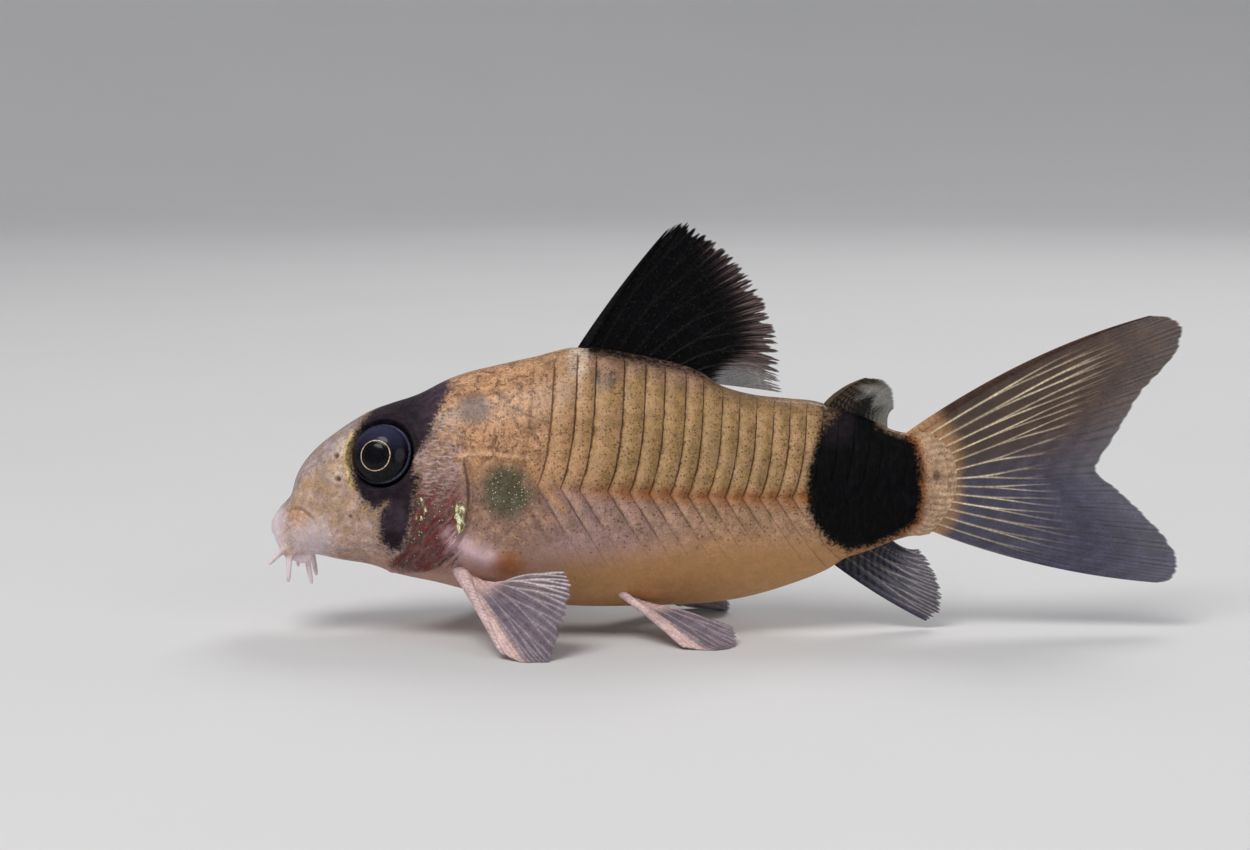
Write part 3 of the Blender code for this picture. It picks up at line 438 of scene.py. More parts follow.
    # How thickly painted glints are scattered: over the green shoulder patch and the gill
    glint = np.maximum(0.45 * green, 0.1 * gill)
    ink = 0.3 + 0.6 * ease(7.6, 9.6, x) * ease(10.5, 12.5, z)
    ink = np.maximum(ink, 0.6 * spot(x, z, 7.0, 6.8, 1.0, 1.0, 0.7))
    ink = ink * ease(16.0, 12.0, x) + 0.2 * spot(x, z, 31.0, 11.8, 0.9, 1.1, 0.7)
    nape = ease(8.4, 9.4, x) * ease(9.2, 10.2, z) * ease(17.0, 14.0, x)
    nape = np.maximum(nape, 0.5 * spot(x, z, 12.6, 7.0, 2.4, 2.6, 0.4))
    nape = nape * (1 - green) * (1 - 0.7 * grey) * (1 - bell(lobe, 0, 0.6))
    sleek = ease(-0.3, 0.2, patch)
    calm = ease(6.4, 4.6, z) * flank
    calm = np.maximum(calm, np.maximum(bell(lobe, 0, 0.7), lip * (1 - flank)))
    face = (1 - flank) * (1 - 0.8 * lip) * (1 - gill) * ease(9.6, 8.4, x)
    side = bell(above, 0.0, 0.5) * ease(14, 21, x) * ease(36, 34.5, x)
    return {
        "sleek": sleek, "tint": colour, "black": black, "speck": speck, "line": line, "gill": gill,
        "glint": glint, "tuft": spot(x, z, 9.0, 10.6, 1.5, 2.6, 0.5), "ink": ink, "nape": nape,
        "calm": calm, "face": face, "side": side, "gill_highlight": gill_highlight,
    }


# Making meshes
def new_piece(name, points, faces, uvs=None):
    """A smooth object from points in millimetres, with an optional map for its corners."""
    mesh = bpy.data.meshes.new(name)
    placed = (np.asarray(points, float) - (MIDDLE_X, 0, 0)) * MM
    faces = np.asarray(faces, int)
    sides = faces.shape[1]
    mesh.vertices.add(len(placed))
    mesh.vertices.foreach_set("co", placed.ravel())
    mesh.loops.add(faces.size)
    mesh.loops.foreach_set("vertex_index", faces.ravel())
    mesh.polygons.add(len(faces))
    mesh.polygons.foreach_set("loop_start", np.arange(0, faces.size, sides))
    mesh.polygons.foreach_set("loop_total", np.full(len(faces), sides))
    mesh.update(calc_edges=True)
    mesh.validate()
    if uvs is not None:
        layer = mesh.uv_layers.new(name="OFBake")
        layer.data.foreach_set("uv", np.asarray(uvs, float).ravel())
    obj = bpy.data.objects.new(name, mesh)
    bpy.context.scene.collection.objects.link(obj)
    mesh.shade_smooth()
    return obj


def add_values(obj, values):
    """Stores arrays on an object's points: colours where they have three columns."""
    mesh = obj.data
    for name, array in values.items():
        array = np.asarray(array, float)
        if array.ndim == 2:
            layer = mesh.attributes.new(name, "FLOAT_COLOR", "POINT")
            full = np.concatenate([array, np.ones((len(array), 1))], axis=1)
            layer.data.foreach_set("color", full.ravel())
        else:
            layer = mesh.attributes.new(name, "FLOAT", "POINT")
            layer.data.foreach_set("value", array)


def face_outward(obj):
    """Closes a piece's hidden open ends with flat caps and turns its faces outward."""
    shape = bmesh.new()
    shape.from_mesh(obj.data)
    open_edges = [edge for edge in shape.edges if edge.is_boundary]
    caps = bmesh.ops.holes_fill(shape, edges=open_edges, sides=0)["faces"]
    caps = bmesh.ops.poke(shape, faces=caps)["faces"]
    bmesh.ops.recalc_face_normals(shape, faces=shape.faces)
    for cap in caps:
        cap.smooth = False
    shape.to_mesh(obj.data)
    shape.free()


# The skin
SKIN_FRONT = 3.0
BACK_COLUMNS = 96
BELLY_COLUMNS = 112
PLATE_RELIEF = 0.078
PLATE_SHARES = np.array([0.0, 0.04, 0.1, 0.18, 0.28, 0.4, 0.52, 0.64, 0.76, 0.87, 0.95, 0.985])
TAIL_TAPER = 0.55


def skin_stations():
    """Lengths at the side line of the skin's rings, and each one's place among the plates."""
    head = np.arange(SKIN_FRONT, HEAD_END_X, 0.055)
    shoulder = np.linspace(HEAD_END_X, PLATE_EDGES[0], 42)[:-1]
    places = [np.full(len(head), -0.5), np.linspace(-0.5, 0, 42)[:-1]]
    stations = [head, shoulder]
    for k, (edge, after) in enumerate(zip(PLATE_EDGES, PLATE_EDGES[1:])):
        stations.append(edge + (after - edge) * PLATE_SHARES)
        places.append(k + PLATE_SHARES)
    stations.append(np.linspace(PLATE_EDGES[-1], TAIL_END_X, 36))
    places.append(len(PLATE_EDGES) - 1 + np.linspace(0, 0.5, 36))
    return np.concatenate(stations), np.concatenate(places)


def ring_angles(x):
    """Angles of a half ring's evenly spaced columns, one of which lies on the side line."""
    side = float(side_angle(x))
    parts = []
    for low, high, count in ((0, side, BACK_COLUMNS), (side, math.pi, BELLY_COLUMNS)):
        fine = np.linspace(low, high, 160)
        line = skin_point(np.full_like(fine, x), fine)[:, 1:]
        steps = np.linalg.norm(np.diff(line, axis=0), axis=1)
        length = np.concatenate([[0], np.cumsum(steps)])
        parts.append(np.interp(np.linspace(0, length[-1], count + 1), length, fine))
    return np.concatenate([parts[0], parts[1][1:]])


def ring_bend(x, z):
    """How far a ring's point at height z lies behind the ring's place on the side line."""
    to_head = ease(SKIN_FRONT, HEAD_END_X, x)
    to_plates = ease(HEAD_END_X + GAP, PLATE_EDGES[0], x)
    to_tail = ease(PLATE_EDGES[-4], TAIL_END_X, x)
    bend = head_end(z) * to_head * (1 - to_plates) + chevron(z, x) * to_plates
    return bend * (1 - to_tail) + tail_end(z) * to_tail


def plate_relief(points, place, angles):
    """How far the armour stands out: each plate rises to its rear edge and drops there."""
    x, y, z = points[..., 0], np.abs(points[..., 1]), points[..., 2]
    share = place - np.floor(place)
    side = side_angle(x)
    belly_start = math.pi * (0.69 + 0.27 * ease(27.0, 32.0, x))
    fade = ease(0.10, 0.3, angles) * (1 - ease(belly_start - 0.35, belly_start, angles))
    fade = fade * (1 - 0.8 * bell(angles, side, 0.06))
    plated = (place > 0) & (place < len(PLATE_EDGES) - 1)
    rise = PLATE_RELIEF * share ** 0.75 - 0.03 * bell(share, 0.0, 0.05)
    groove = -0.06 * bell(angles, side, 0.03) * ease(14.0, 17.0, x)
    return np.where(plated, rise * fade, 0.0) + groove


def head_relief(points, angles):
    """How far the head's bones, pores and folds stand out of its bare surface."""
    x, y, z = points[..., 0], np.abs(points[..., 1]), points[..., 2]
    on_flank = ease(0.9, 1.8, y)
    opening = behind_line(GILL_OPENING, x, np.clip(z, 3.5, 9.9))
    tall = ease(3.1, 4.0, z) * ease(10.3, 9.2, z)
    cover = 0.24 * ease(-2.6, -0.5, opening) * (1 - ease(-0.05, 0.07, opening))
    groove = -0.14 * bell(opening, 0.16, 0.12)
    fore = behind_line(PREOPERCLE, x, np.clip(z, 4.3, 9.1))
    preopercle = 0.07 * bell(fore, 0.0, 0.14) - 0.05 * bell(fore, 0.3, 0.12)
    relief = (cover + groove + preopercle) * tall * on_flank
    cheek = np.hypot((x - 5.2) / 1.9, (z - 6.3) / 1.3)
    relief = relief + 0.1 * (1 - ease(0.7, 1.15, cheek)) * on_flank
    relief = relief + 0.1 * bell(line_distance(CLEITHRUM, x, z), 0, 0.16)
    relief = relief - 0.07 * spot(x, z, 13.05, 8.35, 1.3, 1.4, 0.25)
    lobe = line_distance(PECTORAL_LOBE, x, z)
    relief = relief + 0.3 * bell(lobe, 0, 0.55) * on_flank
    relief = relief + 0.05 * bell(line_distance(MOUTH_FOLD[2:] + [(3.4, 5.6)], x, z), 0, 0.15)
    spine_foot = ease(16.6, 17.4, x) * ease(25.0, 23.2, x)
    relief = relief + 0.16 * bell(y, 0.0, 0.32) * spine_foot * ease(10, 12, z)
    for nx, nz in NOSTRILS:
        foot = skin_point(nx, angle_at(nx, nz))
        away = np.linalg.norm(np.stack([x, y, z], axis=-1) - foot, axis=-1)
        relief = relief + 0.08 * bell(away, 0.26, 0.1) - 0.22 * ease(0.2, 0.08, away)
    return relief


def fold_round_eye(points, normals):
    """Presses the skin under the eyeball and gives the orbit a thin raised rim."""
    for side in (-1, 1):
        axis = eye_axis(side)
        away = points - eye_centre(side)
        height = away @ axis
        radius = np.linalg.norm(away - height[..., None] * axis, axis=-1)
        near = (height > -1.2) & (points[..., 1] * side > 0)
        inner = 1 - ease(1.72, 2.02, radius)
        sunk = (0.0 - height) * inner
        rim = 0.05 * bell(radius, 1.92, 0.1) + 0.04 * bell(radius, 2.27, 0.16)
        shift = np.where(near, sunk, 0.0)[..., None] * axis
        shift = shift + np.where(near, rim * (1 - inner * 0.4), 0.0)[..., None] * normals
        points = points + shift
    return points


def grid_normals(points):
    """Outward directions of a closed grid of rings and columns."""
    along = np.gradient(points, axis=0)
    ahead = np.roll(points, -1, axis=1)
    behind = np.roll(points, 1, axis=1)
    normals = np.cross(ahead - behind, along)
    normals /= np.linalg.norm(normals, axis=-1)[..., None] + 1e-12
    centre = points.mean(axis=1)[:, None, :]
    inward = np.einsum("ijk,ijk->ij", normals, points - centre).mean() < 0
    return -normals if inward else normals


def build_skin():
    stations, places = skin_stations()
    half_points, half_angles = [], []
    for x in stations:
        angles = ring_angles(x)
        level = skin_point(np.full_like(angles, x), angles)
        along = x + ring_bend(x, level[:, 2])
        half_points.append(skin_point(along, angles))
        half_angles.append(angles)
    half = np.array(half_points)
    angles = np.array(half_angles)
    points = np.concatenate([half, half[:, -2:0:-1] * (1, -1, 1)], axis=1)
    angles = np.concatenate([angles, angles[:, -2:0:-1]], axis=1)
    place = np.broadcast_to(places[:, None], angles.shape)
    normals = grid_normals(points)
    painted = paint_skin(points.reshape(-1, 3))
    plates = plate_relief(points, place, angles)
    plates = plates * (1 - 0.65 * painted.pop("sleek").reshape(plates.shape))
    relief = plates + head_relief(points, angles)
    relief = relief * ease(SKIN_FRONT, SKIN_FRONT + 0.4, stations)[:, None]
    points = points + normals * relief[..., None]
    points = fold_round_eye(points, normals)
    points[0] -= normals[0] * 0.012
    points[..., 1] *= 1 - 0.45 * ease(35.4, TAIL_END_X, stations)[:, None]

    shares = np.linspace(0, 1, 25)[1:]
    rings = [points]
    for share in shares:
        ring = points[-1].copy()
        ring[:, 0] += TAIL_TAPER * share
        ring[:, 1] *= 1 - 0.8 * ease(-0.4, 1.1, share)
        ring[:, 2] += (TAIL_END_Z - ring[:, 2]) * 0.03 * share
        rings.append(ring[None])
    points = np.concatenate(rings)
    columns = points.shape[1]
    added = len(shares)
    for name, values in painted.items():
        grid = values.reshape((len(stations), columns) + values.shape[1:])
        more = np.broadcast_to(grid[-1:], (added,) + grid.shape[1:])
        painted[name] = np.concatenate([grid, more]).reshape((-1,) + values.shape[1:])
    place = np.concatenate([place, np.broadcast_to(place[-1:], (added, columns))])

    count = len(points)
    i, j = np.meshgrid(np.arange(count - 1), np.arange(columns), indexing="ij")
    k = (j + 1) % columns
    faces = np.stack([i * columns + j, (i + 1) * columns + j,
                      (i + 1) * columns + k, i * columns + k], axis=-1).reshape(-1, 4)
    u = np.concatenate([stations, TAIL_END_X + TAIL_TAPER * shares])
    u = (u - SKIN_FRONT) / (TAIL_END_X + TAIL_TAPER - SKIN_FRONT) * 0.98 + 0.01
    low, high = j / columns * 0.98 + 0.01, (j + 1) / columns * 0.98 + 0.01
    uvs = np.stack([np.stack([u[i], low], -1), np.stack([u[i + 1], low], -1),
                    np.stack([u[i + 1], high], -1), np.stack([u[i], high], -1)], axis=2)
    skin = new_piece("skin", points.reshape(-1, 3), faces, uvs.reshape(-1, 2))
    painted["plate"] = place.ravel()
    add_values(skin, painted)
    face_outward(skin)
    return skin


# Snout, lips and barbels
CELL = 0.055
SNOUT_END = 3.25


def upper_lip_point(turn):
    fore = MOUTH_X - UPPER_LIP_RADIUS
    return np.array([MOUTH_X - fore * math.cos(turn), MOUTH_HALF_WIDTH * math.sin(turn),
                     MOUTH_Z + UPPER_LIP_RISE * math.cos(turn)])


def lower_lip_point(turn):
    return np.array([MOUTH_X + LOWER_LIP_REACH * math.cos(turn),
                     MOUTH_HALF_WIDTH * 0.92 * math.sin(turn),
                     MOUTH_Z - 0.35 * math.cos(turn)])


def bowed(root, tip, bow, share):
    root, tip, bow = (np.asarray(v, float) for v in (root, tip, bow))
    return root + (tip - root) * share + bow * 4 * share * (1 - share)


def radial_share(x, y, z):
    """How far a place lies from the body's axis, as a share of the surface's distance."""
    nose = np.clip((x - NOSE_START) / NOSE_ROUNDING, 0, 1)
    nose = np.maximum(np.sqrt(1 - (1 - nose) ** 2), 0.02)
    middle = smooth_line(WIDEST_LINE, x)
    rise = z - middle
    height = np.where(rise >= 0, smooth_line(BACK_LINE, x) - middle,
                      middle - smooth_line(BELLY_LINE, x)) * nose
    width = smooth_line(HALF_WIDTHS, x) * nose
    power = np.where(rise >= 0, upper_squareness(x), BELLY_SQUARENESS)
    total = (np.abs(y) / width) ** power + (np.abs(rise) / height) ** power
    return total ** (1 / power)


def tube_field(places, path, radii, stretch=1.0):
    """The distance from each place to a round tube along a path, below 0 inside it."""
    squeeze = np.array([1, 1, 1 / stretch])
    places = places * squeeze
    path = np.asarray(path, float) * squeeze
    field = np.full(places.shape[:-1], 9.0)
    for a, b, first, second in zip(path, path[1:], radii, radii[1:]):
        step = b - a
        share = np.clip((places - a) @ step / (step @ step), 0, 1)
        away = np.linalg.norm(places - a - share[..., None] * step, axis=-1)
        field = np.minimum(field, away - (first + (second - first) * share))
    return field


def join(first, second, blend):
    """Both shapes as one, with a fillet between them."""
    overlap = np.maximum(blend - np.abs(first - second), 0) / blend
    return np.minimum(first, second) - overlap * overlap * blend / 4


def cut_away(field, cutter, blend):
    return -join(-field, cutter, blend)


def barbel_path(kind):
    if kind == "barbel_chin":
        lip = lower_lip_point(math.radians(40))
    else:
        lip = np.array([MOUTH_X, MOUTH_HALF_WIDTH, MOUTH_Z])
    tip = np.array(BARBEL_TIPS[kind])
    sag = np.array([0.0, 0.1, 0.08])
    shares = np.linspace(0, 1, 12)
    radii = 0.12 + 0.09 * (1 - shares) ** 1.1 + 0.2 * np.exp(-shares * 9)
    radii = radii * np.sqrt(np.clip((1.06 - shares) / 0.12, 0.25, 1))
    path = np.array([bowed(lip, tip - (tip - lip) * 0.02, sag, s) for s in shares])
    return path, radii


def snout_field(places):
    """The snout with its lips, folds and barbels, as a distance field over half the head."""
    x, y, z = places[..., 0], places[..., 1], places[..., 2]
    share = radial_share(x, y, z)
    radius = np.hypot(y, z - smooth_line(WIDEST_LINE, x))
    nose = radius * (1 - 1 / np.maximum(share, 0.05))
    nose = np.where(share < 0.05, -1.0, nose)
    nose = np.maximum(nose, NOSE_START - x)
    turns = np.linspace(0, math.pi / 2, 12)
    path = [upper_lip_point(turn) for turn in turns]
    radii = [UPPER_LIP_RADIUS * (0.7 + 0.3 * math.cos(turn)) for turn in turns]
    lip = tube_field(places, path, radii, UPPER_LIP_STRETCH)
    field = join(nose, lip, 0.86)
    path = [lower_lip_point(turn) for turn in turns]
    radii = [LOWER_LIP_RADIUS * (0.85 + 0.15 * math.cos(turn)) for turn in turns]
    field = join(field, tube_field(places, path, radii), 0.2)
    corner = np.array([MOUTH_X, MOUTH_HALF_WIDTH, MOUTH_Z])
    lobe = np.linalg.norm((places - corner) / (1.0, 0.9, 1.15), axis=-1) - LIP_CORNER_RADIUS
    field = join(field, lobe, 0.25)
    flap = np.array([1.75, 1.62, 4.35])
    flap_field = np.linalg.norm((places - flap) / (1.5, 0.55, 1.2), axis=-1) - 0.34
    field = join(field, flap_field, 0.25)
    for kind in BARBEL_TIPS:
        path, radii = barbel_path(kind)
        field = join(field, tube_field(places, path, radii), 0.22)
    turns = np.linspace(0, 1.3, 9)
    slit = [(MOUTH_X + 0.42 * math.cos(a) - 0.1, 1.3 * math.sin(a), MOUTH_Z - 0.62)
            for a in turns]
    radii = [0.1 + 0.12 * math.cos(a) for a in turns]
    field = cut_away(field, tube_field(places, slit, radii, 2.2), 0.12)
    fold = line_distance(MOUTH_FOLD, x, z)
    on_flank = ease(0.7, 1.3, y)
    field = field + 0.11 * bell(fold, 0, 0.11) * on_flank
    field = field - 0.07 * bell(line_distance([(a, b + 0.24) for a, b in MOUTH_FOLD], x, z),
                                0, 0.14) * on_flank
    crease = np.hypot(y * 0.4, z - 5.05) + 3.0 * ease(0.5, 0.9, x)
    return field + 0.06 * bell(crease, 0, 0.1)


def surface_net(field, origin, cell):
    """Points and quads of the surface where the field is 0, one point in each cell it crosses."""
    inside = field < 0
    sizes = np.array(field.shape) - 1
    totals = np.zeros((int(np.prod(sizes)), 3))
    counts = np.zeros(int(np.prod(sizes)))
    quads = []
    for axis in range(3):
        low = [slice(None)] * 3
        high = [slice(None)] * 3
        low[axis], high[axis] = slice(None, -1), slice(1, None)
        low, high = tuple(low), tuple(high)
        edges = np.argwhere(inside[low] != inside[high])
        here = field[low][tuple(edges.T)]
        there = field[high][tuple(edges.T)]
        crossing = edges.astype(float)
        crossing[:, axis] += here / (here - there)
        others = [a for a in range(3) if a != axis]
        around = []
        for first, second in ((0, 0), (1, 0), (1, 1), (0, 1)):
            corner = edges.copy()
            corner[:, others[0]] -= first
            corner[:, others[1]] -= second
            valid = np.all((corner >= 0) & (corner < sizes), axis=1)
            index = np.where(valid, np.ravel_multi_index(
                np.clip(corner, 0, sizes - 1).T, sizes), -1)
            np.add.at(totals, index[valid], crossing[valid])
            np.add.at(counts, index[valid], 1)
            around.append(index)
        around = np.stack(around, axis=1)
        flip = (here < 0) == (axis != 1)
        around[flip] = around[flip][:, ::-1]
        quads.append(around[np.all(around >= 0, axis=1)])
    quads = np.concatenate(quads)
    used, faces = np.unique(quads, return_inverse=True)
    points = totals[used] / counts[used][:, None] * cell + origin
    return points, faces.reshape(-1, 4)


def relax(points, faces, rounds, hold=None):
    """Evens out a mesh's points without shrinking it; held points stay."""
    ends = np.concatenate([faces[:, [k, (k + 1) % 4]] for k in range(4)])
    ends = np.concatenate([ends, ends[:, ::-1]])
    degree = np.bincount(ends[:, 0], minlength=len(points)).astype(float)
    free = np.ones(len(points)) if hold is None else 1.0 - hold
    for turn in range(rounds):
        amount = 0.5 if turn % 2 == 0 else -0.52
        sums = np.stack([np.bincount(ends[:, 0], weights=points[ends[:, 1], a],
                                     minlength=len(points)) for a in range(3)], axis=1)
        points = points + (sums / degree[:, None] - points) * (amount * free)[:, None]
    return points


def build_snout():
    low = np.array([-0.35, 0.0, 2.3])
    high = np.array([SNOUT_END + CELL, 3.3, 11.3])
    sizes = np.ceil((high - low) / CELL).astype(int) + 1
    axes = [low[a] + CELL * np.arange(sizes[a]) for a in range(3)]
    places = np.stack(np.meshgrid(*axes, indexing="ij"), axis=-1)
    field = snout_field(places)
    field = np.concatenate([field[:, :0:-1], field], axis=1)
    origin = np.array([low[0], -axes[1][-1], low[2]])
    points, faces = surface_net(field, origin, CELL)
    points = relax(points, faces, 6)
    snap = ease(2.3, 2.75, points[:, 0])
    middle = smooth_line(WIDEST_LINE, points[:, 0])
    share = radial_share(*points.T)
    factor = 1 + (1 / share - 1) * snap
    tuck = 1 - 0.012 * ease(SKIN_FRONT, SKIN_FRONT + 0.15, points[:, 0])
    points[:, 1] *= factor * tuck
    points[:, 2] = middle + (points[:, 2] - middle) * factor * tuck
    snout = new_piece("snout", points, faces)
    painted = paint_skin(points)
    del painted["sleek"]
    painted["plate"] = np.full(len(points), -0.5)
    add_values(snout, painted)
    face_outward(snout)
    return snout


# The eyes
def build_eye(side):
    """A smooth eyeball with rings painted round the pupil's middle, which has a low dome."""
    axis = eye_axis(side)
    level = np.cross(axis, (0, 0, 1))
    level /= np.linalg.norm(level)
    up = np.cross(level, axis)
    rings, columns = 110, 144
    polar = np.linspace(0, math.pi, rings + 1)[1:-1]
    turn = np.linspace(0, 2 * math.pi, columns, endpoint=False)
    out = np.sin(polar)[:, None, None] * EYE_RADIUS * (
        np.cos(turn)[None, :, None] * level + np.sin(turn)[None, :, None] * up)
    body = np.cos(polar)[:, None, None] * EYE_DEPTH * axis + out
    points = (body + eye_centre(side)).reshape(-1, 3)
    poles = [eye_centre(side) + axis * EYE_DEPTH, eye_centre(side) - axis * EYE_DEPTH]
    points = np.concatenate([points, poles])
    local = points - eye_centre(side)
    frame_axes = np.stack([level, up, axis])
    inside = local @ frame_axes.T / (EYE_RADIUS, EYE_RADIUS, EYE_DEPTH)

    near = side * np.linspace(2.0, 4.6, 2000)
    ray = np.stack([np.full(2000, PUPIL_X), near, np.full(2000, PUPIL_Z)], axis=1)
    depth = np.linalg.norm((ray - eye_centre(side)) @ frame_axes.T
                           / (EYE_RADIUS, EYE_RADIUS, EYE_DEPTH), axis=1)
    pupil = ray[np.nonzero(depth < 1)[0].max()]
    ring = np.linalg.norm(points - pupil, axis=1)
    rim = np.linalg.norm(local - np.outer(local @ axis, axis), axis=1)
    rim = np.where(local @ axis > 0, rim, EYE_RADIUS * 1.2)
    normal = inside / (EYE_RADIUS, EYE_RADIUS, EYE_DEPTH) @ frame_axes
    normal /= np.linalg.norm(normal, axis=1)[:, None]
    bulge = -0.04 * ease(0.55, 0.8, ring) + 0.012 * bell(ring, 0.86, 0.05)
    points = points + normal * (bulge * (local @ axis > 0))[:, None]
    faces = []
    for i in range(rings - 2):
        for j in range(columns):
            k = (j + 1) % columns
            faces.append((i * columns + j, i * columns + k,
                          (i + 1) * columns + k, (i + 1) * columns + j))
    last = (rings - 2) * columns
    for j in range(columns):
        k = (j + 1) % columns
        faces.append((j, k, len(points) - 2, len(points) - 2))
        faces.append((last + k, last + j, len(points) - 1, len(points) - 1))
    name = "eye_ball_left" if side < 0 else "eye_ball_right"
    mesh = bpy.data.meshes.new(name)
    placed = (points - (MIDDLE_X, 0, 0)) * MM
    trimmed = [f[:3] if f[2] == f[3] else f for f in faces]
    mesh.from_pydata(placed.tolist(), [], trimmed)
    obj = bpy.data.objects.new(name, mesh)
    bpy.context.scene.collection.objects.link(obj)
    mesh.shade_smooth()
    # The height on the eye, which sets how much painted navy sheen the iris gets
    lift = np.clip((points[:, 2] - EYE_Z) / EYE_RADIUS, -1, 1)
    aft = 0.25 + 0.75 * ease(-0.2, 1.2, points[:, 0] - EYE_X)
    add_values(obj, {"ring": ring, "rim": rim, "lift": lift, "aft": aft})
    face_outward(obj)
    return obj


# The fins
DORSAL_ROOTS = (17.3, 23.6)
DORSAL_TIPS = [
    (21.85, 22.25), (22.8, 22.65), (24.3, 21.6), (25.65, 20.4), (26.75, 18.9),
    (27.5, 17.2), (27.95, 15.5), (28.0, 14.0),
]
ANAL_ROOTS = (31.3, 34.5)
ANAL_TIPS = [(36.2, 0.45), (36.9, 0.85), (37.0, 1.8), (36.8, 2.7), (36.4, 3.6), (35.8, 4.5)]
ADIPOSE_ROOTS = (30.7, 33.85)
ADIPOSE_TIPS = [(32.7, 14.0), (33.5, 13.95), (34.2, 13.2), (34.25, 12.3)]
CAUDAL_AXIS_Z = 8.4
CAUDAL_FORK = (45.5, 8.95)
UPPER_LOBE_TIPS = [
    (48.3, 17.42), (49.3, 17.35), (50.0, 16.75), (49.8, 15.6), (48.95, 14.4), (47.8, 13.1),
    (46.65, 11.2), CAUDAL_FORK,
]
LOWER_LOBE_TIPS = [
    (49.0, 2.6), (49.75, 2.85), (50.08, 3.55), (49.75, 4.6), (48.85, 5.7), (47.75, 6.8),
    (46.6, 7.85), CAUDAL_FORK,
]
UPPER_EDGE_BOW = 0.62
LOWER_EDGE_BOW = 0.5
UPPER_ROOT_Z = 11.5
LOWER_ROOT_Z = 5.5
PECTORAL_ROOT_X = (10.75, 12.7)
PECTORAL_ROOT_ANGLE = (math.radians(125), math.radians(127))
PECTORAL_TIPS = [
    (12.95, 8.9, 0.3), (14.4, 9.73, -0.3), (15.4, 9.57, -0.25), (16.0, 8.9, 1.3),
    (16.4, 8.2, 2.6), (16.6, 7.4, 3.6), (16.3, 6.7, 4.4),
]
PELVIC_ROOT_X = (19.6, 21.2)
PELVIC_ROOT_ANGLE = (math.radians(139), math.radians(150))
PELVIC_TIPS = [
    (22.6, 6.2, 0.1), (24.2, 6.4, -0.35), (25.2, 5.8, -0.35), (25.5, 4.8, 0.3), (25.4, 3.9, 0.8),
]
WEB_HALF = 0.035
FLOOR_BEND = 0.13
LEAD_COLUMNS = 7


def back_root(x, lift=GAP):
    return np.array([x, 0.0, float(smooth_line(BACK_LINE, x)) + lift])


def belly_root(x, lift=GAP):
    return np.array([x, 0.0, float(smooth_line(BELLY_LINE, x)) - lift])


def through(points, place):
    """A smooth line through points one step apart, for each coordinate."""
    points = np.asarray(points, float)
    return np.stack([smooth_line(list(enumerate(points[:, a])), place)
                     for a in range(3)], axis=-1)


def ray_ridges(place, share, spacing, width, split):
    """1 on the middle of a soft ray or of its branches, and 0 between them."""
    off = place - np.round(place)
    first = 0.25 * ease(0, 0.4, share - split)
    second = 0.125 * ease(0, 0.35, share - split - 0.3)
    nearest = np.full(np.shape(off * share), 9.0)
    for a in (-1, 1):
        for b in (-1, 1):
            nearest = np.minimum(nearest, np.abs(off - a * first - b * second))
    return np.exp(-((nearest * spacing / width) ** 2))


def strands(place, count, spacing):
    """A random number for each strand of a fin's skin, blended between neighbours."""
    marks = np.arange(-0.5, count, spacing)
    return np.interp(place, marks, RANDOM.uniform(0, 1, len(marks)))


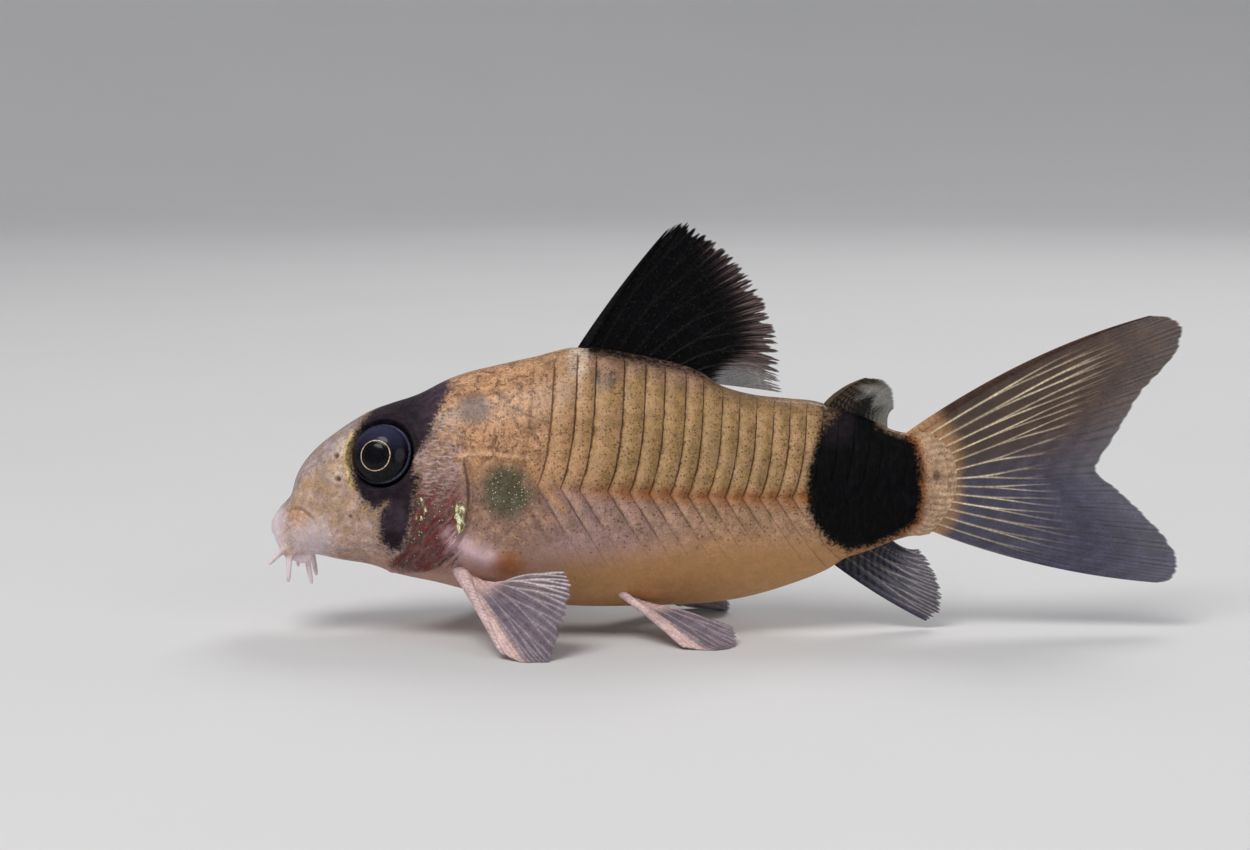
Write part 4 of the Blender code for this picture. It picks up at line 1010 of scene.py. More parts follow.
def build_fin(name, rays, style, columns, rows):
    """A closed thin fin over a fan of rays, each of them (root, tip, bow).

    The style holds the sizes of its spine and soft rays, how ragged its edge is, how its
    colours run, and for a fin in the plane of symmetry the way its faces look.
    """
    roots, tips, bows = (np.array([ray[k] for ray in rays], float) for k in range(3))
    count = len(rays)
    place = np.linspace(0, count - 1, (count - 1) * columns + 1)
    root, tip, bow = through(roots, place), through(tips, place), through(bows, place)
    length = np.linalg.norm(tip - root, axis=1)
    end = 1 - style["ragged"] * strands(place, count, style["strand"] * 1.2) ** 2
    gaps = strands(place, count, style["strand"]) ** 2
    gaps = gaps * (0.4 + 0.6 * strands(place, count, 0.5))
    steps = np.linspace(0, 1, rows + 1)
    start = -style["root_in"] / length
    share = start[:, None] + (end - start)[:, None] * steps
    s = share[..., None]
    middle = root[:, None] + (tip - root)[:, None] * s + bow[:, None] * 4 * s * (1 - s)
    fade = np.clip(share, 0, 1)

    across = np.gradient(middle, axis=0)
    spacing = np.linalg.norm(across, axis=-1) * columns
    split = style["split"] + 0.12 * (RANDOM.uniform(0, 1, count)[np.round(place).astype(int)] - 0.5)
    ray = ray_ridges(place[:, None], share, spacing, style["ray_width"] * (1 - 0.35 * fade),
                     split[:, None])
    from_spine = np.cumsum(np.concatenate([np.zeros((1, rows + 1)), spacing[1:] / columns]),
                           axis=0)
    ray = np.where(from_spine < style["spine_width"] * 1.3, ray * 0.0, ray)
    spine_width = style["spine_width"] * (1 - 0.55 * fade)
    spine = np.sqrt(np.clip(1 - (from_spine / spine_width) ** 2, 0, 1))

    ahead = middle[0] - middle[2]
    ahead /= np.linalg.norm(ahead, axis=1)[:, None]
    lead_shares = np.linspace(1, 0, LEAD_COLUMNS + 1)[:-1]
    lead_shares = np.sin(lead_shares * math.pi / 2)
    lead = np.array([middle[0] + ahead * spine_width[0][:, None] * k * 0.98 for k in lead_shares])
    lead_spine = np.array([np.full(rows + 1, math.sqrt(max(1 - (k * 0.98) ** 2, 0)))
                           for k in lead_shares])
    middle = np.concatenate([lead, middle])
    spine = np.concatenate([lead_spine, spine])
    ray = np.concatenate([np.zeros_like(lead_spine), ray])
    share = np.concatenate([np.repeat(share[:1], LEAD_COLUMNS, axis=0), share])
    fade = np.clip(share, 0, 1)
    place = np.concatenate([-lead_shares * 0.3, place])
    length = np.concatenate([np.repeat(length[:1], LEAD_COLUMNS), length])
    end = np.concatenate([np.repeat(end[:1], LEAD_COLUMNS), end])
    gaps = np.concatenate([np.zeros(LEAD_COLUMNS), gaps])

    half = WEB_HALF * (1 - 0.6 * fade) + style["ray_half"] * (1 - 0.7 * fade) * ray
    spine_half = style["spine_half"] * (1 - 0.6 * fade)
    half = np.where(np.arange(len(half))[:, None] < LEAD_COLUMNS, spine_half * spine + 0.004,
                    np.maximum(half, spine_half * spine))
    half = half * (1 - 0.6 * ease(0.97, 1.0, steps)[None, :])
    if style.get("facing") is not None:
        normals = np.broadcast_to(np.asarray(style["facing"], float), middle.shape).copy()
        sway = style["sway"] * np.sin(place * 1.7 + 0.6)[:, None] * fade ** 2
        middle = middle + normals * sway[..., None]
    else:
        across = np.gradient(middle, axis=0)
        along = np.gradient(middle, axis=1)
        normals = np.cross(across, along)
        normals /= np.linalg.norm(normals, axis=2)[..., None] + 1e-12
        bent = FLOOR_BEND * np.logaddexp(0, middle[..., 2] / FLOOR_BEND)
        middle[..., 2] = np.maximum(bent, half + 0.01)
    front = middle + normals * half[..., None]
    rear = middle - normals * half[..., None]
    front[..., 2] = np.maximum(front[..., 2], 0.0)
    rear[..., 2] = np.maximum(rear[..., 2], 0.0)

    n, m = front.shape[:2]
    under = n * m
    i, j = np.meshgrid(np.arange(n - 1), np.arange(m - 1), indexing="ij")
    a, b = i * m + j, (i + 1) * m + j
    top = np.stack([a, b, b + 1, a + 1], axis=-1).reshape(-1, 4)
    base = under + np.stack([a, a + 1, b + 1, b], axis=-1).reshape(-1, 4)
    rim = [k * m for k in range(n)]
    rim += [(n - 1) * m + k for k in range(1, m)]
    rim += [k * m + m - 1 for k in range(n - 2, -1, -1)]
    rim += [k for k in range(m - 2, 0, -1)]
    rim = np.array(rim)
    after = np.roll(rim, -1)
    wall = np.stack([rim, under + rim, under + after, after], axis=-1)
    faces = np.concatenate([top, base, wall])
    points = np.concatenate([front.reshape(-1, 3), rear.reshape(-1, 3)])

    u, v = np.arange(n) / (n - 1), np.arange(m) / (m - 1)
    uv = np.stack(np.meshgrid(u, v, indexing="ij"), axis=-1).reshape(-1, 2)
    upper = uv * (0.96, 0.46) + (0.02, 0.02)
    lower = uv * (0.96, 0.46) + (0.02, 0.5)
    mapped = np.concatenate([upper, lower])
    wall_map = np.stack([mapped[rim], mapped[rim] - (0.004, 0.004),
                         mapped[after] - (0.004, 0.004), mapped[after]], axis=1)
    uvs = np.concatenate([mapped[top].reshape(-1, 2), mapped[base].reshape(-1, 2),
                          wall_map.reshape(-1, 2)])
    fin = new_piece(name, points, faces, uvs)

    look = style["paint"](np.broadcast_to(place[:, None], share.shape), share,
                          np.maximum(ray, 0), spine, middle)
    along = share * length[:, None]
    left = (end[:, None] - share) * length[:, None]
    cover = look[1] * np.maximum(ease(-0.02, 0.16, left - style["fray"] * gaps[:, None]), spine)
    values = {"tint": look[0].reshape(-1, 3), "cover": cover.ravel(),
              "ray": np.maximum(ray, spine).ravel(), "along": along.ravel(),
              "fan": np.broadcast_to(place[:, None], share.shape).ravel()}
    add_values(fin, {key: np.concatenate([value, value]) for key, value in values.items()})
    face_outward(fin)
    return fin


FIN_BLACK = tone(8, 8, 10)
FIN_BROWN = tone(46, 31, 30)
FIN_GREY = tone(104, 98, 104)
FIN_OLIVE = tone(104, 104, 92)
FIN_MAUVE = tone(120, 106, 122)
WEB_BLUE = tone(64, 62, 82)
WEB_BROWN = tone(72, 52, 43)
RAY_PALE = tone(212, 200, 196)
RAY_PINK = tone(186, 158, 156)
SPINE_PINK = tone(226, 198, 196)


def paint_dorsal(place, share, ray, spine, middle):
    edge = np.interp(place, [0, 1, 2, 3, 4, 5, 6, 7, 8],
                     [1.5, 1.2, 1.02, 0.93, 0.88, 0.84, 0.78, 0.45, -0.2])
    wobble = 0.05 * np.sin(place * 25) + 0.04 * np.sin(place * 57 + 1)
    clear = ease(-0.2, 0.1, share - edge + wobble)
    hair = 0.5 + 0.5 * np.sin(place * 50.3 + 2 * np.sin(share * 9))
    low = ease(6.4, 7.4, place)
    web = mix(FIN_BLACK, mix(FIN_BROWN, FIN_GREY * 0.22, low), clear)
    web = mix(web, FIN_BLACK, 0.6 * hair * clear * (1 - low))
    wisp = (0.5 + 0.5 * np.sin(place * 77 + 3 * np.sin(share * 6))) ** 4
    pale = np.maximum(ray * 0.34, 0.36 * wisp * ease(0.2, 0.9, clear))
    dashes = 0.35 + 0.65 * np.sin(share * 31 + place * 4) ** 2
    pale = pale + (0.9 - pale) * low * wisp * dashes * ease(0.45, 0.75, share)
    rays = mix(FIN_BLACK, mix(RAY_PINK, RAY_PALE, low), ease(0.1, 0.9, clear))
    colour = mix(web, rays, pale * clear)
    cover = 1 - 0.16 * clear - 0.2 * low * clear
    cover = cover + (0.95 - cover) * 0.6 * hair * clear * (1 - low)
    cover = cover + (0.94 - cover) * np.maximum(ray * 0.85, spine)
    return colour, cover


def paint_caudal(place, share, ray, spine, middle):
    upper = ease(8.0, 4.5, place)
    web = mix(WEB_BLUE, WEB_BROWN, upper)
    web = web * (1 + 0.12 * np.sin(share * 42 + 3 * np.sin(place))[..., None])
    reach = np.interp(place, [0, 1.5, 4, 7, 10, 14], [0.5, 0.72, 0.68, 0.58, 0.5, 0.4])
    bright = ease(reach + 0.16, reach - 0.3, share) * ease(0.0, 0.8, place)
    bright = bright * (0.6 + 0.4 * np.sin(place * 7.3 + 1.2) ** 2) * ease(15.5, 11.0, place)
    rays = mix(web * 1.35, RAY_CREAM, bright)
    colour = mix(web, rays, ray * (0.5 + 0.5 * bright))
    branch = (0.5 + 0.5 * np.cos(2 * math.pi * (place * 3 + 0.5))) ** 3
    branch = branch * ease(0.2, 0.5, share) * (0.5 + 0.5 * np.sin(place * 11 + share * 7) ** 2)
    colour = mix(colour, web * 2.2, 0.65 * branch * (1 - ray))
    colour = mix(colour, WEB_BROWN, spine * 0.7)
    base = ease(0.1, 0.0, share)
    colour = mix(colour, mix(BASE_ORANGE, RAY_CREAM, 0.5 * ray), base)
    cover = 0.82 - 0.17 * ease(0.55, 1.0, share)
    cover = cover + (0.98 - cover) * np.maximum(ray * (0.4 + 0.6 * bright), spine)
    cover = cover + (0.95 - cover) * 0.5 * branch
    cover = cover + (1 - cover) * base
    return colour, cover


def paint_anal(place, share, ray, spine, middle):
    mottle = ease(0.6, 0.1, share + 0.16 * np.sin(place * 9 + 2 * share))
    mottle = mottle * (0.6 + 0.4 * np.sin(share * 37 + place * 5) ** 2)
    colour = mix(WEB_BLUE * 0.9, RAY_PALE, ray * 0.5)
    colour = mix(colour, FIN_BLACK, mottle * 0.85)
    cover = 0.72 + 0.22 * mottle
    cover = cover + (0.94 - cover) * np.maximum(ray, spine)
    return colour, cover


def paint_adipose(place, share, ray, spine, middle):
    front = ease(1.5, 0.4, place + 0.35 * np.sin(share * 13))
    foot = ease(0.55, 0.15, share + 0.12 * np.sin(place * 7)) * ease(3.0, 1.6, place)
    dark = np.maximum(front * 0.85, foot)
    fleck = np.sin(place * 31 + 4 * np.sin(share * 11)) * np.sin(share * 23 + place * 3)
    dark = np.clip(dark * 1.2 + 0.3 * fleck * ease(0.0, 0.4, dark), 0, 1)
    colour = mix(mix(FIN_OLIVE * 0.8, RAY_PALE, 0.06 + ray * 0.1), FIN_BLACK, dark * 0.95)
    golden = ease(0.1, 0.7, fleck) * ease(1.6, 0.6, place)
    colour = mix(colour, BACK_DUSK, 0.6 * golden)
    colour = mix(colour, BACK_DUSK * 0.8, spine * 0.7)
    cover = 0.72 + 0.24 * np.maximum(dark, spine)
    return colour, cover


def paint_pectoral(place, share, ray, spine, middle):
    white = ease(3.4, 5.0, place)
    rays = mix(mix(FIN_MAUVE, RAY_PALE, 0.4), RAY_PALE * 1.2, white)
    colour = mix(FIN_MAUVE, rays, ray)
    fine = (0.5 + 0.5 * np.cos(2 * math.pi * (place * 4 + 0.5))) ** 2
    colour = mix(colour, rays, 0.35 * fine * (1 - ray))
    band = np.maximum(ease(1.3, 0.6, place), ease(0.3, 0.06, share))
    streak = 0.5 + 0.5 * np.sin(place * 22 + 3 * np.sin(share * 4))
    pink = mix(SPINE_PINK, tone(190, 140, 118), 0.45 * streak * ease(0.0, 0.6, place))
    colour = mix(colour, pink, np.maximum(spine, band * 0.92))
    cover = 0.7 + (0.97 - 0.7) * np.maximum(np.maximum(ray, spine), band)
    return colour, cover


MEDIAN = (0.0, 1.0, 0.0)
DORSAL_STYLE = {
    "strand": 0.05, "ragged": 0.03, "fray": 1.1, "root_in": 0.8, "split": 0.3, "ray_width": 0.08,
    "ray_half": 0.07, "spine_width": 0.34, "spine_half": 0.3, "sway": 0.12,
    "facing": MEDIAN, "paint": paint_dorsal,
}
CAUDAL_STYLE = {
    "strand": 0.09, "ragged": 0.006, "fray": 0.22, "root_in": 1.1, "split": 0.16, "ray_width": 0.055,
    "ray_half": 0.08, "spine_width": 0.26, "spine_half": 0.14, "sway": 0.2,
    "facing": MEDIAN, "paint": paint_caudal,
}
ANAL_STYLE = {
    "strand": 0.07, "ragged": 0.015, "fray": 0.4, "root_in": 0.7, "split": 0.2, "ray_width": 0.06,
    "ray_half": 0.06, "spine_width": 0.16, "spine_half": 0.12, "sway": 0.1,
    "facing": MEDIAN, "paint": paint_anal,
}
ADIPOSE_STYLE = {
    "strand": 0.07, "ragged": 0.01, "fray": 0.12, "root_in": 0.7, "split": 0.2, "ray_width": 0.06,
    "ray_half": 0.02, "spine_width": 0.18, "spine_half": 0.15, "sway": 0.05,
    "facing": MEDIAN, "paint": paint_adipose,
}
PAIRED_STYLE = {
    "strand": 0.09, "ragged": 0.02, "fray": 0.35, "root_in": 0.9, "split": 0.3, "ray_width": 0.07,
    "ray_half": 0.07, "spine_width": 0.6, "spine_half": 0.38, "paint": paint_pectoral,
}
PELVIC_STYLE = dict(PAIRED_STYLE, spine_width=0.26, spine_half=0.22)


def dorsal_rays():
    roots = np.linspace(*DORSAL_ROOTS, len(DORSAL_TIPS))
    rays = [(back_root(x), (tip_x, 0.0, tip_z), (-0.15 - 0.03 * i, 0.0, 0.12 + 0.045 * i))
            for i, (x, (tip_x, tip_z)) in enumerate(zip(roots, DORSAL_TIPS))]
    return rays + [(back_root(24.8, 0.1), (28.15, 0.0, 13.15), (0.0, 0.0, 0.02))]


def anal_rays():
    roots = np.linspace(*ANAL_ROOTS, len(ANAL_TIPS))
    return [(belly_root(x), (tip_x, 0.0, tip_z), (0.0, 0.0, -0.15))
            for x, (tip_x, tip_z) in zip(roots, ANAL_TIPS)]


def adipose_rays():
    roots = np.linspace(*ADIPOSE_ROOTS, len(ADIPOSE_TIPS))
    return [(back_root(x), (tip_x, 0.0, tip_z), (-0.1, 0.0, 0.12))
            for x, (tip_x, tip_z) in zip(roots, ADIPOSE_TIPS)]


def lobe_rays(tips, root_z, edge_bow):
    rays = []
    for i, (tip_x, tip_z) in enumerate(tips):
        share = i / (len(tips) - 1)
        z = root_z + (CAUDAL_AXIS_Z - root_z) * share
        root = (TAIL_END_X + float(tail_end(z)) + GAP, 0.0, z)
        rays.append((root, (tip_x, 0.0, tip_z), (0.0, 0.0, edge_bow * (1 - share) ** 1.5)))
    return rays


def caudal_rays():
    """Fifteen rays from the top of the tail fin to its foot, the middle one in the fork."""
    upper = lobe_rays(UPPER_LOBE_TIPS, UPPER_ROOT_Z, UPPER_EDGE_BOW)
    lower = lobe_rays(LOWER_LOBE_TIPS, LOWER_ROOT_Z, -LOWER_EDGE_BOW)
    return upper + lower[-2::-1]


def paired_rays(root_x, root_angle, tips, side, bow):
    rays = []
    for i, tip in enumerate(tips):
        share = i / (len(tips) - 1)
        x = root_x[0] + (root_x[1] - root_x[0]) * share
        angle = root_angle[0] + (root_angle[1] - root_angle[0]) * share
        root = on_side(skin_point(x, angle), side) + outward(x, angle, side) * (GAP + 0.12)
        rays.append((root, on_side(tip, side), on_side(bow, side)))
    return rays


# Shader helpers
def new_material(name):
    material = bpy.data.materials.new(name)
    material.use_nodes = True
    tree = material.node_tree
    return material, tree, tree.nodes["Principled BSDF"]


def put(tree, socket, value):
    """Links a node's output to a socket, or sets the socket to a number or a colour."""
    if isinstance(value, bpy.types.NodeSocket):
        tree.links.new(value, socket)
    else:
        if len(np.shape(value)) == 1 and len(value) == 3 and socket.type == "RGBA":
            value = (*value, 1.0)
        socket.default_value = value


def math_node(tree, operation, first, second=0.0):
    made = tree.nodes.new("ShaderNodeMath")
    made.operation = operation
    put(tree, made.inputs[0], first)
    put(tree, made.inputs[1], second)
    return made.outputs[0]


def rise(tree, value, low, high, out_low=0.0, out_high=1.0):
    """A smooth step of a value, from one output to another."""
    made = tree.nodes.new("ShaderNodeMapRange")
    made.interpolation_type = "SMOOTHSTEP"
    for name, number in (("Value", value), ("From Min", low), ("From Max", high),
                         ("To Min", out_low), ("To Max", out_high)):
        put(tree, made.inputs[name], number)
    return made.outputs["Result"]


def blend_colour(tree, share, first, second, kind="MIX"):
    made = tree.nodes.new("ShaderNodeMix")
    made.data_type = "RGBA"
    made.blend_type = kind
    put(tree, made.inputs[0], share)
    put(tree, made.inputs[6], first)
    put(tree, made.inputs[7], second)
    return made.outputs[2]


def stored(tree, name, colour=False):
    made = tree.nodes.new("ShaderNodeAttribute")
    made.attribute_name = name
    return made.outputs["Color" if colour else "Fac"]


def place_in_mm(tree, stretch=(1.0, 1.0, 1.0)):
    """The place on the object in millimetres, squeezed or drawn out along each axis."""
    place = tree.nodes.new("ShaderNodeTexCoord").outputs["Object"]
    scaled = tree.nodes.new("ShaderNodeVectorMath")
    scaled.operation = "MULTIPLY"
    tree.links.new(place, scaled.inputs[0])
    scaled.inputs[1].default_value = tuple(1000.0 * s for s in stretch)
    return scaled.outputs[0]


def noise(tree, place, scale, detail=3.0, roughness=0.55):
    made = tree.nodes.new("ShaderNodeTexNoise")
    put(tree, made.inputs["Vector"], place)
    put(tree, made.inputs["Scale"], scale)
    put(tree, made.inputs["Detail"], detail)
    put(tree, made.inputs["Roughness"], roughness)
    return made.outputs["Fac"]


def cells(tree, place, scale):
    """The distance to the nearest of scattered points, and a random number for each point."""
    made = tree.nodes.new("ShaderNodeTexVoronoi")
    put(tree, made.inputs["Vector"], place)
    put(tree, made.inputs["Scale"], scale)
    split = tree.nodes.new("ShaderNodeSeparateColor")
    tree.links.new(made.outputs["Color"], split.inputs[0])
    return made.outputs["Distance"], split.outputs[0], split.outputs[1]


def specks(tree, place, scale, size, density):
    """Small round specks, on that share of the scattered points."""
    distance, chance, other = cells(tree, place, scale)
    kept = math_node(tree, "LESS_THAN", chance, density)
    dot = rise(tree, distance, size * 0.6, size, 1.0, 0.0)
    return math_node(tree, "MULTIPLY", dot, kept)


def bump(tree, height, distance, strength=1.0):
    made = tree.nodes.new("ShaderNodeBump")
    made.inputs["Strength"].default_value = strength
    made.inputs["Distance"].default_value = distance
    tree.links.new(height, made.inputs["Height"])
    return made.outputs["Normal"]


def skin_material():
    """Skin over armour: freckles, plate edges, black pigment with furry borders, and a gill, with painted
    highlights, glints and shade.
    """
    material, tree, shader = new_material("fish_skin")
    place = place_in_mm(tree)
    coarse = noise(tree, place, 0.8, 4.0, 0.6)
    middle = noise(tree, place, 2.4, 4.0, 0.65)
    fine = noise(tree, place, 6.0, 3.0, 0.65)
    grain = noise(tree, place, 14.0, 2.0, 0.6)
    colour = stored(tree, "tint", True)
    lively = rise(tree, stored(tree, "calm"), 0.0, 1.0, 1.0, 0.25)
    for level, low, high in ((coarse, 0.84, 1.16), (middle, 0.78, 1.22), (fine, 0.74, 1.26),
                             (grain, 0.84, 1.16)):
        colour = blend_colour(tree, lively, colour, blend_grey(tree, level, low, high),
                              "MULTIPLY")
    face = stored(tree, "face")
    dapple = noise(tree, place, 1.5, 4.0, 0.7)
    golden = multiply(tree, rise(tree, dapple, 0.5, 0.62), face, 0.5)
    colour = blend_colour(tree, golden, colour, tuple(tone(190, 150, 106)))
    milky = multiply(tree, rise(tree, dapple, 0.47, 0.34), face, 0.45)
    colour = blend_colour(tree, milky, colour, tuple(tone(214, 190, 186)))
    armour = stored(tree, "line")
    hue = noise(tree, place, 1.3, 3.0, 0.6)
    olive = multiply(tree, rise(tree, hue, 0.5, 0.66), rise(tree, armour, 0.0, 0.5, 0.1, 0.42))
    colour = blend_colour(tree, olive, colour, tuple(tone(124, 102, 54)))
    rosy = multiply(tree, rise(tree, hue, 0.48, 0.34), rise(tree, armour, 0.0, 0.5, 0.1, 0.4))
    colour = blend_colour(tree, rosy, colour, tuple(tone(204, 156, 132)))
    side = multiply(tree, stored(tree, "side"), rise(tree, middle, 0.3, 0.7, 0.7, 1.0))
    colour = blend_colour(tree, side, colour, tuple(SIDE_ORANGE))

    nape = stored(tree, "nape")
    bent = bent_place(tree, place, 1.3, 0.7)
    veins = cell_edges(tree, bent, 0.8)
    veins = multiply(tree, rise(tree, veins, 0.02, 0.1, 1.0, 0.0), nape,
                     rise(tree, middle, 0.42, 0.6, 0.0, 1.0))
    colour = blend_colour(tree, multiply(tree, veins, 0.75), colour, tuple(tone(84, 54, 42)))
    ridges = rise(tree, noise(tree, bent, 1.4, 4.0, 0.7), 0.5, 0.62)
    ridges = multiply(tree, ridges, nape)
    colour = blend_colour(tree, multiply(tree, ridges, 0.6), colour, tuple(tone(232, 184, 144)))
    dash = noise(tree, place_in_mm(tree, (4.6, 4.6, 1.4)), 1.0, 3.0, 0.6)
    colour = blend_colour(tree, multiply(tree, rise(tree, dash, 0.54, 0.64), nape, 0.5), colour,
                          tuple(tone(118, 78, 58)))
    dusk = multiply(tree, rise(tree, noise(tree, bent, 1.2, 4.0, 0.7), 0.52, 0.66), nape)
    colour = blend_colour(tree, multiply(tree, dusk, 0.5), colour, tuple(tone(112, 80, 64)))

    plate = stored(tree, "plate")
    wobble = math_node(tree, "MULTIPLY", math_node(tree, "SUBTRACT", middle, 0.5), 0.16)
    share = math_node(tree, "FRACT", math_node(tree, "ADD", plate, wobble))
    line = armour
    # A lighter band over the front of each plate: partly paler skin, partly a painted highlight
    pale = multiply(tree, rise(tree, share, 0.08, 0.2), rise(tree, share, 0.3, 0.6, 1.0, 0.0),
                    rise(tree, fine, 0.4, 0.6, 0.1, 0.6), line)
    colour = blend_colour(tree, pale, colour, tuple(tone(214, 178, 140)))
    # Painted shade, darker towards each plate's rear edge
    rear_shade = multiply(tree, rise(tree, share, 0.4, 0.95, 0.0, 0.34), line)
    colour = blend_colour(tree, rear_shade, colour, tuple(tone(110, 80, 50)))

    within = blend_number(tree, rise(tree, line, 0.05, 0.4), 1.0,
                          rise(tree, share, 0.2, 0.5, 0.5, 1.15))
    patchy = rise(tree, noise(tree, place, 1.7, 2.0), 0.3, 0.7, 0.5, 1.3)
    density = multiply(tree, stored(tree, "speck"), within, patchy)
    small = specks(tree, place, 6.6, 0.4, density)
    large = specks(tree, place, 4.2, 0.34, math_node(tree, "MULTIPLY", density, 0.7))
    freckle = math_node(tree, "MAXIMUM", small, large)
    strength = rise(tree, face, 0.2, 0.8, 0.6, 0.4)
    colour = blend_colour(tree, multiply(tree, freckle, strength), colour,
                          tuple(tone(64, 45, 34)))
    blotch = multiply(tree, rise(tree, fine, 0.5, 0.62), rise(tree, density, 0.05, 0.2))
    colour = blend_colour(tree, multiply(tree, blotch, 0.5), colour, tuple(tone(96, 66, 54)))

    # Dark lines at each plate's edges: dark joints, with painted shade in the step behind each edge
    thick = rise(tree, noise(tree, place, 1.1, 2.0), 0.35, 0.65)
    rear = rise(tree, share, 0.945, 0.985)
    front = rise(tree, share, blend_number(tree, thick, 0.0, 0.03),
                 blend_number(tree, thick, 0.04, 0.1), 1.0, 0.0)
    seam_and_shade = multiply(tree, math_node(tree, "MAXIMUM", rear, front), line,
                    rise(tree, grain, 0.32, 0.5, 0.5, 1.0))
    colour = blend_colour(tree, multiply(tree, seam_and_shade, 0.88), colour, tuple(tone(82, 53, 34)))

    gill = stored(tree, "gill")
    slanted = slanted_place(tree)
    streak = noise(tree, slanted, 0.75, 4.0, 0.7)
    colour = blend_colour(tree, multiply(tree, rise(tree, streak, 0.42, 0.68), gill, 0.8),
                          colour, tuple(GILL_RED))
    other = noise(tree, slanted, 1.25, 3.0, 0.7)
    colour = blend_colour(tree, multiply(tree, rise(tree, other, 0.47, 0.7), gill, 0.75),
                          colour, tuple(tone(44, 30, 38)))
    colour = blend_colour(tree, multiply(tree, rise(tree, other, 0.42, 0.28), gill, 0.4),
                          colour, tuple(tone(200, 146, 134)))

    hair = noise(tree, place_in_mm(tree, (2.4, 2.4, 9.0)), 1.0, 3.0, 0.6)
    tufted = stored(tree, "tuft")
    tuft = multiply(tree, tufted, rise(tree, hair, 0.48, 0.62))
    colour = blend_colour(tree, multiply(tree, tuft, 0.7), colour, tuple(PALE_TUFT))
    # Painted glints: small pale green specks
    sparkle = specks(tree, place, 7.0, 0.3, stored(tree, "glint"))
    colour = blend_colour(tree, sparkle, colour, tuple(tone(196, 214, 170)))
    # Painted highlights on the gill: pale green flecks with white cores
    gill_highlight = stored(tree, "gill_highlight")
    flecks = noise(tree, place_in_mm(tree, (3.6, 3.6, 2.2)), 1.0, 3.0, 0.65)
    lit = rise(tree, math_node(tree, "ADD", flecks, multiply(tree, gill_highlight, 0.2)), 0.62, 0.76)
    colour = blend_colour(tree, multiply(tree, lit, rise(tree, gill_highlight, 0.1, 0.4)), colour,
                          tuple(tone(204, 208, 148)))
    core = rise(tree, math_node(tree, "ADD", flecks, multiply(tree, gill_highlight, 0.2)), 0.72, 0.8)
    colour = blend_colour(tree, multiply(tree, core, rise(tree, gill_highlight, 0.2, 0.5)), colour,
                          tuple(tone(246, 248, 226)))

    depth = stored(tree, "black")
    furry = multiply(tree, math_node(tree, "SUBTRACT", hair, 0.5),
                     rise(tree, tufted, 0.0, 0.6, 0.35, 1.1))
    rough_edge = math_node(tree, "MULTIPLY", math_node(tree, "SUBTRACT", fine, 0.5), 0.95)
    depth = math_node(tree, "ADD", depth, math_node(tree, "ADD", furry, rough_edge))
    pigment = rise(tree, depth, -0.3, 0.22)
    mauve = multiply(tree, stored(tree, "ink"), rise(tree, middle, 0.3, 0.65, 0.5, 1.2))
    # Bluish streaks in the black pigment: a painted sheen
    ink_sheen = rise(tree, dash, 0.46, 0.7, 0.0, 0.45)
    ink = blend_colour(tree, ink_sheen, tuple(INK), tuple(INK_SHEEN_BLUE))
    ink = blend_colour(tree, mauve, ink, tuple(INK_MAUVE))
    colour = blend_colour(tree, multiply(tree, pigment, 0.993), colour, ink)
    tree.links.new(colour, shader.inputs["Base Color"])

    gloss = rise(tree, fine, 0.3, 0.7, 0.38, 0.56)
    tree.links.new(gloss, shader.inputs["Roughness"])
    coat = multiply(tree, rise(tree, fine, 0.35, 0.65, 0.42, 0.2),
                    rise(tree, pigment, 0.0, 1.0, 1.0, 0.05))
    tree.links.new(coat, shader.inputs["Coat Weight"])
    shader.inputs["Coat Roughness"].default_value = 0.24
    shader.inputs["Specular IOR Level"].default_value = 0.03
    shader.inputs["Subsurface Weight"].default_value = 0.12
    shader.inputs["Subsurface Radius"].default_value = (1.0, 0.45, 0.3)
    shader.inputs["Subsurface Scale"].default_value = 0.0004
    height = math_node(tree, "ADD", math_node(tree, "MULTIPLY", grain, 0.5),
                       math_node(tree, "MULTIPLY", fine, 0.9))
    for part, weight in ((freckle, -0.25), (seam_and_shade, -0.5), (sparkle, 0.8), (veins, -0.8),
                         (ridges, 0.6)):
        height = math_node(tree, "ADD", height, math_node(tree, "MULTIPLY", part, weight))
    tree.links.new(bump(tree, height, 0.00008, 0.7), shader.inputs["Normal"])
    return material


def multiply(tree, first, *others):
    for other in others:
        first = math_node(tree, "MULTIPLY", first, other)
    return first


def bent_place(tree, place, scale, amount):
    """Places shifted by a noise, so that a regular pattern on them wanders."""
    made = tree.nodes.new("ShaderNodeTexNoise")
    put(tree, made.inputs["Vector"], place)
    put(tree, made.inputs["Scale"], scale)
    shift = tree.nodes.new("ShaderNodeVectorMath")
    shift.operation = "MULTIPLY_ADD"
    tree.links.new(made.outputs["Color"], shift.inputs[0])
    shift.inputs[1].default_value = (amount,) * 3
    put(tree, shift.inputs[2], place)
    return shift.outputs[0]


def cell_edges(tree, place, scale):
    """The distance to the nearest border between cells."""
    made = tree.nodes.new("ShaderNodeTexVoronoi")
    made.feature = "DISTANCE_TO_EDGE"
    put(tree, made.inputs["Vector"], place)
    put(tree, made.inputs["Scale"], scale)
    return made.outputs["Distance"]


def blend_grey(tree, value, low, high):
    """A grey that runs from one level to another as a noise goes from dark to light."""
    level = rise(tree, value, 0.3, 0.7, low, high)
    made = tree.nodes.new("ShaderNodeCombineColor")
    for k in range(3):
        tree.links.new(level, made.inputs[k])
    return made.outputs[0]


def blend_number(tree, share, first, second):
    made = tree.nodes.new("ShaderNodeMix")
    made.data_type = "FLOAT"
    put(tree, made.inputs[0], share)
    put(tree, made.inputs[2], first)
    put(tree, made.inputs[3], second)
    return made.outputs[0]


